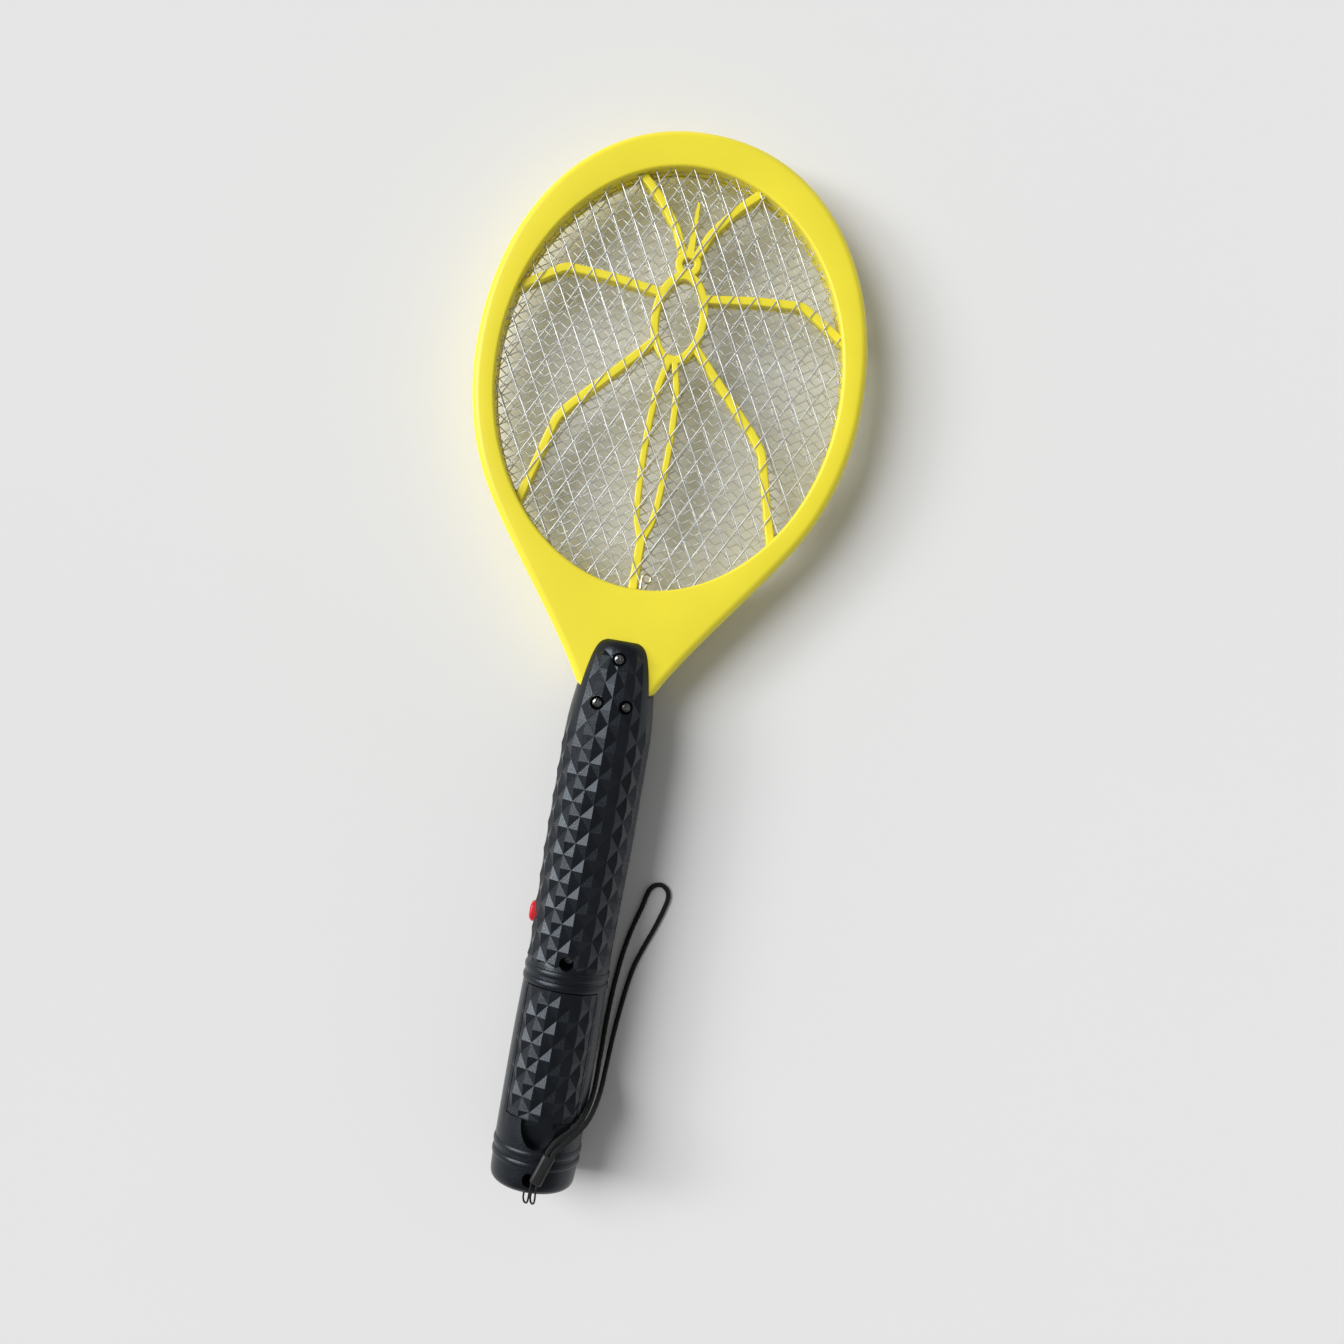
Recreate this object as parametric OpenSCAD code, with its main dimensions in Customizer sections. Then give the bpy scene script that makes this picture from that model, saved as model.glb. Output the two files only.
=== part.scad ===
// Handheld electric fly swatter: an oval net head on a moulded grip that
// holds two AA cells. The swatter lies on its back: +Y runs from the butt
// to the tip of the head, +Z is the front, and the surface is at z = 0.
// Sizes below are counted from the butt along Y and from the joint plane
// between the front and rear halves along Z.

/* [Head] */
// Width of the rim beside the opening
rim_w = 10.5; // [9:0.1:13]
// Width of the rim below the opening, without the throat
heel_band = 12.4; // [10:0.1:15]
// Squareness of the upper half of the outer oval, 2 is an ellipse
head_power = 2.12; // [2:0.02:2.4]
// Half-width of the opening
open_rx = 77.7; // [72:0.1:79]
// Half-length of the opening
open_ry = 95.7; // [91:0.1:97]
// Width of the rim above the opening
tip_band = 16.6; // [15:0.1:19]
// Thickness of the head from its front face to its back face
head_t = 16; // [15:0.2:18]
// Rounding depth at the outer edge of the head
head_round = 3.6; // [2:0.1:4.5]
// Depth of the ledge that the nets and spacers are held in, outwards
rebate_w = 5; // [4:0.1:6]
// Distance from the end of the grip to the opening
throat_len = 24; // [22:0.5:30]
// Angle on the oval where the throat leaves it
throat_angle = -37; // [-42:0.5:-32]
// Slope of the throat's edge where it meets the grip
throat_slope = 0.55; // [0.4:0.05:0.7]
// Half-width of the tang inside the grip
tang_hw = 12.5; // [11.5:0.1:13]
// Length of the tang below the end of the grip
tang_len = 45; // [42:0.5:48]

/* [Nets] */
// Thickness of the front and rear nets
net_t = 0.8; // [0.5:0.1:1]
// Thickness of the middle net
mid_net_t = 0.8; // [0.5:0.1:1]
// Strand width of the front and rear nets
strand_w = 0.9; // [0.6:0.1:1.4]
// Spacing of parallel strands in the front and rear nets
net_pitch = 8.4; // [8.4:0.05:11]
// Angle of the outer nets' strands from the swatter's axis
net_angle = 28.3; // [24:0.1:36]
// Strand width of the middle net
mid_strand_w = 0.8; // [0.6:0.1:1.2]
// Spacing of parallel strands in the middle net
mid_pitch = 9; // [9:0.1:12]
// Angle of the middle net's strands from the swatter's axis
mid_angle = 55; // [48:0.5:60]
// Width of the nets' uncut edge beyond the opening
net_edge = 4.5; // [3.5:0.1:4.7]

/* [Spacers] */
// Thickness of each spacer between two nets
spacer_t = 4; // [3.5:0.1:4.4]
// Width of a spacer's ribs
rib_w = 3.8; // [3:0.1:4.4]
// Half-width of the oval in the ribs, along the ribs' middle
oval_rx = 10.9; // [9.5:0.1:12]
// Half-length of the oval in the ribs
oval_ry = 19.3; // [18:0.1:20.5]
// Distance of the middle of the oval above the middle of the opening
oval_up = 28.6; // [26:0.1:31]
// Radius of the ring above the oval, along the rib's middle
ring_r = 4.25; // [3.6:0.05:4.8]
// Length of the spike from the middle of the ring
spike_len = 28; // [24:0.5:30]

/* [Grip] */
// Length of the grip
grip_len = 248; // [244:0.5:252]
// Half-width of the grip
grip_hw = 19.5; // [19.2:0.1:21]
// Half-depth of the grip
grip_hh = 19; // [18.8:0.1:20]
// Wall thickness of the grip
grip_wall = 2.2; // [1.9:0.1:2.4]
// Height of the raised bands
ridge_h = 0.6; // [0.3:0.1:0.9]
// Spacing of the two ridges of a band
ridge_gap = 4.8; // [4.4:0.1:5.2]
// Distance from the butt to the first ridge
butt_band_y = 13; // [12.4:0.1:13.6]
// Row spacing of the diamond pattern, half a diamond
diamond_py = 6; // [5.7:0.1:6.5]
// Height of the diamonds' points over the plain surface
diamond_hi = 0.6; // [0.3:0.1:0.8]
// Depth of the valleys between diamonds
diamond_lo = 0.35; // [0.1:0.05:0.5]

/* [Battery bay] */
// Distance from the butt to the lower end of the cover's opening
cover_y0 = 32.5; // [31.8:0.1:33]
// Thickness of the cover
cover_t = 2; // [1.8:0.1:2.1]
// Gap round the cover
cover_gap = 0.3; // [0.3:0.05:0.4]
// Depth of the cover's turning line below the crown of the grip
hinge_drop = 0.7; // [0.6:0.05:0.8]
// Gap between the cover's upper edge and the grip
hinge_gap = 0.9; // [0.8:0.05:1.1]
// Half-width of the thumb notch
notch_hw = 8; // [7:0.1:9]
// Length of the thumb notch
notch_len = 12.2; // [11:0.1:12.2]
// Diameter of a cell
cell_d = 14.2; // [13.7:0.1:14.3]
// Length of a cell with its button
cell_len = 50.5; // [49.5:0.1:50.5]
// Gap between the two cells
cell_gap = 0.4; // [0.2:0.1:0.6]
// Gap between a cell and the side of the bay
bay_gap = 0.5; // [0.4:0.1:0.7]
// Length of a contact spring with the cells in place
spring_l = 5.5; // [5:0.1:6.5]
// Radius of a contact spring at its plate
spring_r = 4.4; // [4:0.1:4.6]
// Thickness of the contact plates
plate_t = 0.5; // [0.4:0.05:0.6]
// Thickness of the bay's walls
bay_wall = 1.3; // [1:0.1:1.4]

/* [Screws] */
// Diameter of the screws
screw_d = 3; // [2.6:0.1:3.2]
// Length of the screws under the head
screw_len = 24; // [23:0.5:24]
// Diameter of the screw heads
screw_head_d = 5.6; // [5:0.1:5.8]
// Height of the screw heads
screw_head_h = 2.2; // [1.8:0.1:2.4]
// Diameter of the recesses over the screws
recess_d = 6.4; // [6.2:0.1:6.8]
// Diameter of the bosses round the screws
boss_d = 8.6; // [8.4:0.1:9]
// Distance of the top screw from the end of the grip
screw_top = 8.5; // [8.2:0.1:9.5]
// Distance of the pair of screws from the end of the grip
screw_pair = 29; // [27:0.5:31]
// Half the spacing of the pair of screws
screw_pair_x = 6.5; // [6.2:0.1:7]
// Distance of the butt screw from the butt
screw_butt = 6.9; // [6.8:0.1:7.2]

/* [Button] */
// Distance of the button from the lower end of the circuit board
button_up = 10; // [9:0.1:13]
// Length of the button along the grip
button_len = 9.6; // [8.5:0.1:10.5]
// Width of the button
button_w = 6.4; // [5.5:0.1:7]
// How far the button stands out of the grip
button_out = 2.4; // [2:0.1:3]
// Travel of the button
button_travel = 1.2; // [1:0.1:1.4]
// Gap round the button
button_gap = 0.35; // [0.3:0.05:0.5]

/* [Electrics] */
// Distance from the circuit board to the tang
board_gap = 6.3; // [5:0.1:8]
// Half-width of the circuit board
board_hw = 13; // [12:0.1:13.5]
// Thickness of the circuit board
board_t = 1.6; // [1.2:0.1:2]
// Depth of the board's upper face below the joint plane
board_drop = 4.4; // [4:0.1:5]
// Diameter of the insulated leads
lead_d = 1.4; // [1:0.1:1.6]
// Distance of the high voltage leads from the axis
lead_x = 3.2; // [3:0.05:3.4]
// Diameter of the contact spring wire
spring_wire = 0.7; // [0.6:0.05:0.75]
// Turns in a contact spring
spring_turns = 4; // [3:1:4]

/* [Wrist strap] */
// Diameter of the strap's cord
cord_d = 2.3; // [2.1:0.1:2.4]
// Diameter of the thin string
string_d = 0.9; // [0.8:0.1:1.1]
// Length of the sleeve
sleeve_len = 14; // [13:0.5:14]
// Width of the sleeve
sleeve_w = 5.8; // [5.6:0.1:6.2]
// Height of the sleeve
sleeve_h = 3.2; // [3.2:0.1:3.6]

/* [Hidden] */
$fn = 48;

yellow = [0.98, 0.86, 0.10];
black = [0.09, 0.10, 0.11];
red = [0.86, 0.08, 0.12];
steel = [0.72, 0.73, 0.74];
brass = [0.80, 0.68, 0.36];
board_green = [0.16, 0.40, 0.22];
copper = [0.72, 0.42, 0.20];

// General small clearance between fixed pieces
fit = 0.15;

// Height of the joint plane over the surface
mid_z = grip_hh + max(ridge_h, diamond_hi);
total_len = grip_len + throat_len + 2 * open_ry + tip_band;
head_rx = open_rx + rim_w;
head_ry = open_ry + (tip_band + heel_band) / 2;
head_cy = total_len - head_ry;
open_cy = total_len - tip_band - open_ry;
head_h = head_t / 2;
spacer_z = mid_net_t / 2;
net_z = spacer_z + spacer_t;
lip_z = net_z + net_t;

throat_y = grip_len - 21;
tang_y = grip_len - tang_len;
throat_hw = half_w(throat_y) + 0.6;

cell_x = (cell_d + cell_gap) / 2;
cover_len = cell_len + spring_l + 2 * plate_t + 1.5;
cover_y1 = cover_y0 + cover_len;
band_y = cover_y1 + 1.8;
diamonds_y = band_y + ridge_gap + 4.8;
screw_low = diamonds_y + 1;
hinge_y = cover_y1 - hinge_gap - 0.1;
hinge_z = grip_hh - hinge_drop;
bay_y0 = cover_y0 + 0.7;
bay_y1 = cover_y1 - 0.8;
bay_hw = cell_x + cell_d / 2 + bay_gap;
cover_hw = bay_hw + 0.5;
// Height at which the cells clear the curved cover
cell_z = sqrt(pow(min(grip_hw, grip_hh) - cover_t - cell_d / 2 - 0.19, 2) - cell_x * cell_x);
bay_floor = cell_z - cell_d / 2 - 0.2;
ledge_z = grip_hh * 0.42 - 0.3;
seat_low = 8;
seat_top = grip_hh - 7.5;
screw_hole_d = screw_d + 0.4;
pilot_d = screw_d - 0.5;
board_y0 = diamonds_y + boss_d / 2 + 4;
board_y1 = tang_y - board_gap;
board_len = board_y1 - board_y0;
button_y = board_y0 + button_up;
board_z = -board_drop;

// Places of the five screws: x, y and height of the seat under the head
screws = [
    [0, grip_len - screw_top, seat_top],
    [-screw_pair_x, grip_len - screw_pair, seat_top],
    [screw_pair_x, grip_len - screw_pair, seat_top],
    [0, screw_low, seat_low],
    [0, screw_butt, seat_low]
];

module in_frame() {
    translate([0, -total_len / 2, mid_z]) children();
}

// Plane curves

function ellipse_pts(rx, ry, cy, n = 96) =
    [for (i = [0 : n - 1]) [rx * cos(360 * i / n), cy + ry * sin(360 * i / n)]];

function bezier(a, b, c, d, t) =
    a * pow(1 - t, 3) + b * 3 * t * pow(1 - t, 2) + c * 3 * t * t * (1 - t) + d * pow(t, 3);

function unit(v) = v / norm(v);

// Right side of the head's outline, from the tip down to the end of the tang
throat_p0 = [head_rx * cos(throat_angle), head_cy + head_ry * sin(throat_angle)];
throat_p1 = throat_p0 + 25 * [head_rx * sin(throat_angle) / head_ry / cos(throat_angle) * 1.02, -1];
throat_p3 = [throat_hw, throat_y];
throat_p2 = throat_p3 + 25 * [throat_slope, 1];
right_side = concat(
    [for (t = [90 : -5 : 0]) [
        head_rx * pow(cos(t), 2 / head_power),
        head_cy + head_ry * pow(sin(t), 2 / head_power)
    ]],
    [for (i = [1 : 7]) let (t = throat_angle * i / 8) [head_rx * cos(t), head_cy + head_ry * sin(t)]],
    [for (i = [0 : 8]) bezier(throat_p0, throat_p1, throat_p2, throat_p3, i / 8)],
    [[tang_hw, throat_y - 5]],
    [for (i = [0 : 2]) [tang_hw * (1 - i / 3), tang_y]]
);
outline = concat(
    right_side,
    [for (i = [len(right_side) - 1 : -1 : 1]) [-right_side[i][0], right_side[i][1]]]
);

// Moves every point of a clockwise loop inwards by d along its own normal
function inset(loop, d) = [
    for (i = [0 : len(loop) - 1])
        let (
            n = len(loop),
            t = unit(loop[(i + 1) % n] - loop[(i + n - 1) % n])
        )
        loop[i] + d * [t[1], -t[0]]
];

// The opening's oval, grown by d, with one point in line with each point of the outline
function oval_ring(d) = [
    for (p = outline)
        let (v = p - [0, open_cy])
        [0, open_cy] + v / norm([v[0] / (open_rx + d), v[1] / (open_ry + d)])
];

// Closed ring skinned round matching loops: layers are [z, loop], in order round the section
module skinned_ring(layers) {
    n = len(layers[0][1]);
    m = len(layers);
    polyhedron(
        points = [for (l = layers) for (p = l[1]) [p[0], p[1], l[0]]],
        faces = [
            for (k = [0 : m - 1]) for (i = [0 : n - 1])
                let (a = k * n, b = ((k + 1) % m) * n, j = (i + 1) % n)
                each [[a + i, a + j, b + j], [a + i, b + j, b + i]]
        ]
    );
}

// Head frames

locating = [for (t = [20, 75, 105, 160, 215, 325]) [
    (head_rx + open_rx + rebate_w) / 2 * cos(t),
    head_cy + (head_ry + open_ry + rebate_w) / 2 * sin(t) - (t > 180 ? 0 : 1)
]];

module frame_half() {
    difference() {
        skinned_ring([
            // Outer side and its rounded front edge
            [0, outline],
            [head_h - head_round * 0.8, inset(outline, 0.15)],
            [head_h - head_round * 0.42, inset(outline, head_round * 0.16)],
            [head_h - head_round * 0.14, inset(outline, head_round * 0.48)],
            [head_h, inset(outline, head_round)],
            // Rounded edge of the opening
            [head_h, oval_ring(1.3)],
            [head_h - 0.4, oval_ring(0.45)],
            [head_h - 1.2, oval_ring(0)],
            // Ledge for the nets and spacers
            [lip_z, oval_ring(0)],
            [lip_z, oval_ring(rebate_w + 0.1)],
            [0, oval_ring(rebate_w + 0.1)]
        ]);
        // Screw holes through the tang
        for (i = [0 : 2])
            translate([screws[i][0], screws[i][1], -1])
            cylinder(h = head_t, d = screw_hole_d);
        // Channels for the leads
        for (x = [-lead_x, lead_x])
            translate([x, tang_y - 1, 0])
            rotate([-90, 0, 0])
            cylinder(h = open_cy - open_ry - tang_y, d = lead_d + 0.4);
        // Pocket for the outer nets' clip
        translate([lead_x - 1, clip_y - 0.3, -1])
            cube([2, 8, lip_z + 1]);
    }
}

post_d = 2;
post_h = 2.6;

module front_frame() color(yellow) in_frame() {
    difference() {
        frame_half();
        for (p = locating)
            translate([p[0], p[1], -1])
            cylinder(h = post_h + 1.3, d = post_d + 0.2);
    }
}

module rear_frame() color(yellow) in_frame() {
    mirror([0, 0, 1]) frame_half();
    for (p = locating)
        translate([p[0], p[1], -1])
        cylinder(h = post_h + 1, d = post_d);
}

// Spacers: an oval rim with ribs across the opening

// Points along one side of a line of points, at a distance d, mitred at the bends
function beside(pts, d) = [
    for (i = [0 : len(pts) - 1])
        let (
            a = unit(pts[max(i, 1)] - pts[max(i, 1) - 1]),
            b = unit(pts[min(i + 1, len(pts) - 1)] - pts[min(i, len(pts) - 2)]),
            n = unit([-a[1] - b[1], a[0] + b[0]])
        )
        pts[i] + d / (n * [-a[1], a[0]]) * n
];

module stroke(pts, w) {
    left = beside(pts, w / 2);
    right = beside(pts, -w / 2);
    polygon(concat(right, [for (i = [len(pts) - 1 : -1 : 0]) left[i]]));
}

module rib_pair(pts, w) {
    stroke(pts, w);
    stroke([for (p = pts) [-p[0], p[1]]], w);
}

oval_cy = open_cy + oval_up;
ring_cy = oval_cy + oval_ry + ring_r + 1.05;

// A point of the ribs, across and along from the middle of the oval, drawn for
// an opening of 77.7 by 95.7 and stretched with it
function rib_pt(x, y) = [x * open_rx / 77.7, oval_cy + y * open_ry / 95.7];

module spacer_2d() {
    // Rim held in the ledge
    difference() {
        polygon(ellipse_pts(open_rx + rebate_w - fit, open_ry + rebate_w - fit, open_cy));
        polygon(ellipse_pts(open_rx + 0.3, open_ry + 0.3, open_cy));
    }
    // Oval and ring on the axis
    difference() {
        union() {
            polygon(ellipse_pts(oval_rx + rib_w / 2, oval_ry + rib_w / 2, oval_cy, 48));
            translate([0, ring_cy]) circle(r = ring_r + rib_w / 2 - 0.25);
        }
        polygon(ellipse_pts(oval_rx - rib_w / 2, oval_ry - rib_w / 2, oval_cy, 48));
        translate([0, ring_cy]) circle(r = ring_r - rib_w / 2 + 0.25);
    }
    // Spike above the ring
    polygon([
        [-1.6, ring_cy + ring_r + 0.5], [1.6, ring_cy + ring_r + 0.5],
        [0.6, ring_cy + spike_len], [-0.6, ring_cy + spike_len]
    ]);
    // Ribs that spread from the oval to the rim
    intersection() {
        union() {
            rib_pair([
                [0.8 * ring_r, ring_cy + ring_r], rib_pt(7.8, 39.5), rib_pt(17.5, 52.3), rib_pt(31.5, 65.5)
            ], rib_w);
            rib_pair([
                [oval_rx - 2, oval_cy + oval_ry * 0.52], rib_pt(33, 13.2), rib_pt(54.3, 14.5), rib_pt(76, 0.6)
            ], rib_w);
            rib_pair([
                [oval_rx - 3, oval_cy - oval_ry * 0.544], rib_pt(42.2, -47.2), rib_pt(47.2, -54),
                rib_pt(59, -97.8)
            ], rib_w);
        }
        polygon(ellipse_pts(open_rx + 2, open_ry + 2, open_cy));
    }
    // Bowed pair of ribs and stem below the oval
    rib_pair([
        [1.2, oval_cy - oval_ry], rib_pt(4.4, -34), rib_pt(5.4, -52),
        rib_pt(5.3, -69), rib_pt(4, -90), rib_pt(0.4, -102)
    ], rib_w * 0.75);
    stroke([rib_pt(0, -101), [0, open_cy - open_ry - 1.5]], rib_w * 1.1);
}

module front_spacer() color(yellow) in_frame()
    translate([0, 0, spacer_z]) linear_extrude(spacer_t) spacer_2d();

module rear_spacer() color(yellow) in_frame()
    translate([0, 0, -spacer_z - spacer_t]) linear_extrude(spacer_t) spacer_2d();

// Nets: a sheet cut into diamonds, with whole cells in the middle and cells
// trimmed by the oval at the edge

function side_of(a, b, p) = (b[0] - a[0]) * (p[1] - a[1]) - (b[1] - a[1]) * (p[0] - a[0]);

function cross_at(a, b, p, q) =
    let (s = side_of(a, b, p), t = side_of(a, b, q)) p + (q - p) * s / (s - t);

// Keeps the part of a polygon to the left of the line a to b
function keep_left(poly, a, b) = [
    for (i = [0 : len(poly) - 1])
        let (
            p = poly[i],
            q = poly[(i + 1) % len(poly)],
            ip = side_of(a, b, p) >= 0,
            iq = side_of(a, b, q) >= 0
        )
        each (ip ? (iq ? [q] : [cross_at(a, b, p, q)]) : (iq ? [cross_at(a, b, p, q), q] : []))
];

function trim(poly, loop, i = 0) =
    (len(poly) < 3 || i == len(loop)) ? poly
    : trim(keep_left(poly, loop[i], loop[(i + 1) % len(loop)]), loop, i + 1);

function area(poly) = len(poly) < 3 ? 0
    : abs([for (i = [0 : len(poly) - 1]) let (p = poly[i], q = poly[(i + 1) % len(poly)])
        p[0] * q[1] - p[1] * q[0]] * [for (p = poly) 0.5]);

function in_oval(p, rx, ry) = pow(p[0] / rx, 2) + pow((p[1] - open_cy) / ry, 2);

function cells(pitch, angle, strand, rx, ry) =
    let (
        dx = pitch / cos(angle) / 2,
        dy = pitch / sin(angle) / 2,
        hx = dx - strand / cos(angle) / 2,
        hy = dy - strand / sin(angle) / 2,
        ni = ceil(rx / dx),
        nj = ceil(ry / dy),
        edge = ellipse_pts(rx, ry, open_cy, 48)
    )
    [for (i = [-ni : ni]) for (j = [-nj : nj]) if ((i + j) % 2 == 0)
        let (
            c = [i * dx, open_cy + j * dy],
            whole = [c + [hx, 0], c + [0, hy], c - [hx, 0], c - [0, hy]],
            far = max([for (p = whole) in_oval(p, rx, ry)]),
            near = in_oval(c, rx + hx, ry + hy)
        )
        if (near < 1)
            let (cut = far < 0.97 ? whole : trim(whole, edge))
            if (area(cut) > 7) cut
    ];

module net(pitch, angle, strand, t) {
    holes = cells(pitch, angle, strand, open_rx + rebate_w - net_edge, open_ry + rebate_w - net_edge);
    echo(gaps = len(holes));
    linear_extrude(t)
        difference() {
            polygon(ellipse_pts(open_rx + rebate_w - fit, open_ry + rebate_w - fit, open_cy));
            for (h = holes) polygon(h);
        }
}

module front_net() color(steel) in_frame()
    translate([0, 0, net_z]) net(net_pitch, net_angle, strand_w, net_t);

module middle_net() color(steel) in_frame()
    translate([0, 0, -mid_net_t / 2]) net(mid_pitch, mid_angle, mid_strand_w, mid_net_t);

module rear_net() color(steel) in_frame()
    translate([0, 0, -net_z - net_t]) net(net_pitch, net_angle, strand_w, net_t);

// Leads and terminals

function net_bottom(x) =
    open_cy - (open_ry + rebate_w - fit) * sqrt(1 - pow(x / (open_rx + rebate_w - fit), 2));

clip_t = 0.8;
clip_y = net_bottom(lead_x) - 2.6;

eyelet_x = 5.4;
eyelet_y = open_cy - open_ry + 5.5;
eyelet_r = 2;
eyelet_wire = 0.8;
eyelet_z = lip_z + eyelet_wire / 2 + 0.02;
eyelet_route = concat(
    [[eyelet_x - eyelet_r, open_cy - open_ry + 0.5, eyelet_z]],
    [for (i = [0 : 14]) [eyelet_x - eyelet_r * cos(20 * i), eyelet_y + eyelet_r * sin(20 * i), eyelet_z]]
);

module net_terminals() color(brass) in_frame() {
    // Clip that joins the front and rear nets to one lead
    translate([lead_x - 0.7, clip_y, -lip_z]) cube([1.4, clip_t, 2 * lip_z]);
    for (z = [net_z, -net_z - net_t])
        translate([lead_x - 0.7, clip_y, z])
        cube([1.4, net_bottom(lead_x) - clip_y, net_t]);
    // Wire eyelet that lies on the front net
    tube(eyelet_route, eyelet_wire, 8, [1, 0, 0]);
}

// A lead from the board's face up to the joint plane and along it
function lead_route(x, y_end) = [
    [x, board_y1 - 6, board_z + lead_d / 2], [x, board_y1 - 2, board_z + lead_d / 2],
    [x, board_y1, board_z + lead_d / 2 + 0.5], [x, tang_y - 3, -0.5], [x, tang_y - 1, 0], [x, y_end, 0]
];

module high_voltage_leads() color(red) in_frame() {
    tube(lead_route(-lead_x, net_bottom(lead_x)), lead_d, 8, [1, 0, 0]);
    tube(lead_route(lead_x, clip_y), lead_d, 8, [1, 0, 0]);
}

// Grip

function half_w(y) = grip_hw + lookup(y, [
    [0, -3.7], [0.8, -1.9], [2.5, -0.7], [5, -0.3], [26, 0.1], [62, 0], [104, -0.7], [126, -0.4], [160, 0.3],
    [grip_len - 42, 0.3], [grip_len - 36, -0.2], [grip_len - 26, -1.4], [grip_len - 15, -2.9],
    [grip_len - 8, -4.3], [grip_len - 3.5, -5.7], [grip_len - 1, -7.3], [grip_len, -8.7]
]);

function half_h(y) = grip_hh + lookup(y, [
    [0, -3.8], [0.8, -2], [2.5, -0.7], [5, -0.2], [26, 0],
    [grip_len - 58, 0], [grip_len - 33, -1.4], [grip_len - 13, -3.6],
    [grip_len - 7, -4.6], [grip_len - 3, -5.8], [grip_len - 1, -7.1], [grip_len, -8.6]
]);

columns = 12;

// Rows along the grip: distance from the butt, added height, and how many
// columns either side of the crown carry diamonds
function ridge_rows(y) = [
    [y - 1.7, 0, 0], [y - 0.9, ridge_h * 0.75, 0], [y, ridge_h, 0],
    [y + 0.9, ridge_h * 0.75, 0], [y + 1.7, 0, 0]
];

skin_rows = concat(
    [for (y = [0, 0.8, 2.5, 5]) [y, 0, 0]],
    ridge_rows(butt_band_y),
    ridge_rows(butt_band_y + ridge_gap),
    [[(butt_band_y + ridge_gap + cover_y0) / 2, 0, 0], [cover_y0 + 0.5, 0, 0]],
    [for (j = [0 : floor((cover_len - 8) / diamond_py)]) [cover_y0 + 3.6 + j * diamond_py, 0, 3]],
    [[cover_y1 - 1.6, 0, 0]],
    ridge_rows(band_y),
    ridge_rows(band_y + ridge_gap),
    [[diamonds_y - 1.6, 0, 0]],
    [for (j = [0 : floor((grip_len - 7.5 - diamonds_y) / diamond_py)])
        let (y = diamonds_y + j * diamond_py) [y, 0, y > grip_len - 43 ? 2 : 5]],
    [for (d = [5, 3, 1, 0]) [grip_len - d, 0, 0]]
);

function cavity_rows(wall) = [
    for (y = [grip_wall + 0.3, 5, 26, 62, 104, 126, 160, grip_len - 58, grip_len - 42, grip_len - 36,
        grip_len - 26, grip_len - 15, grip_len - 8, grip_len - grip_wall - 1.5]) [y, -wall, 0]
];

function relief(i, r, span) =
    (span == 0 || abs(i - columns / 2) > span) ? 0 : (i + r) % 2 == 0 ? diamond_hi : -diamond_lo;

// Upper half of the grip's skin as a loft over the rows
module half_loft(rows) {
    n = columns + 1;
    m = len(rows);
    polyhedron(
        points = [
            for (r = [0 : m - 1]) for (i = [0 : columns])
                let (
                    y = rows[r][0],
                    up = rows[r][1] + relief(i, r, rows[r][2]),
                    t = 180 * i / columns
                )
                [(half_w(y) + up) * cos(t), y, i % columns == 0 ? 0 : (half_h(y) + up) * sin(t)]
        ],
        faces = concat(
            [[for (i = [0 : columns]) columns - i]],
            [for (r = [0 : m - 2]) for (i = [0 : columns - 1])
                let (a = r * n + i) (i + r) % 2 == 0 ? [a, a + 1, a + n] : [a, a + 1, a + n + 1]],
            [for (r = [0 : m - 2]) for (i = [0 : columns - 1])
                let (a = r * n + i) (i + r) % 2 == 0 ? [a + 1, a + n + 1, a + n] : [a, a + n + 1, a + n]],
            [for (r = [0 : m - 2]) [r * n, (r + 1) * n, (r + 1) * n + columns, r * n + columns]],
            [[for (i = [0 : columns]) (m - 1) * n + i]]
        )
    );
}

module block(x, y0, y1, z0, z1) {
    translate([-x, y0, z0]) cube([2 * x, y1 - y0, z1 - z0]);
}

top_z = grip_hh + 6;
notch_z = grip_hh - 5.8;
tab_hw = 3;
tab_z = grip_hh - 5.1;

module button_outline(grow) {
    l = button_len + 2 * grow;
    w = button_w + 2 * grow;
    for (s = [-1, 1]) translate([s * (l - w) / 2, 0]) circle(d = w);
    square([l - w, w], center = true);
}

// Prism along X through the left wall, in the outline of the button
module button_prism(x0, x1, grow) {
    translate([x0, button_y, 0])
        rotate([90, 0, 90])
        linear_extrude(x1 - x0)
        button_outline(grow);
}

module throat_room() {
    translate([0, 0, -1]) linear_extrude(head_h + 1) polygon(outline);
}

strings_x = [-1.6, 1.6];
string_z = grip_hh - 5.8;

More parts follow.
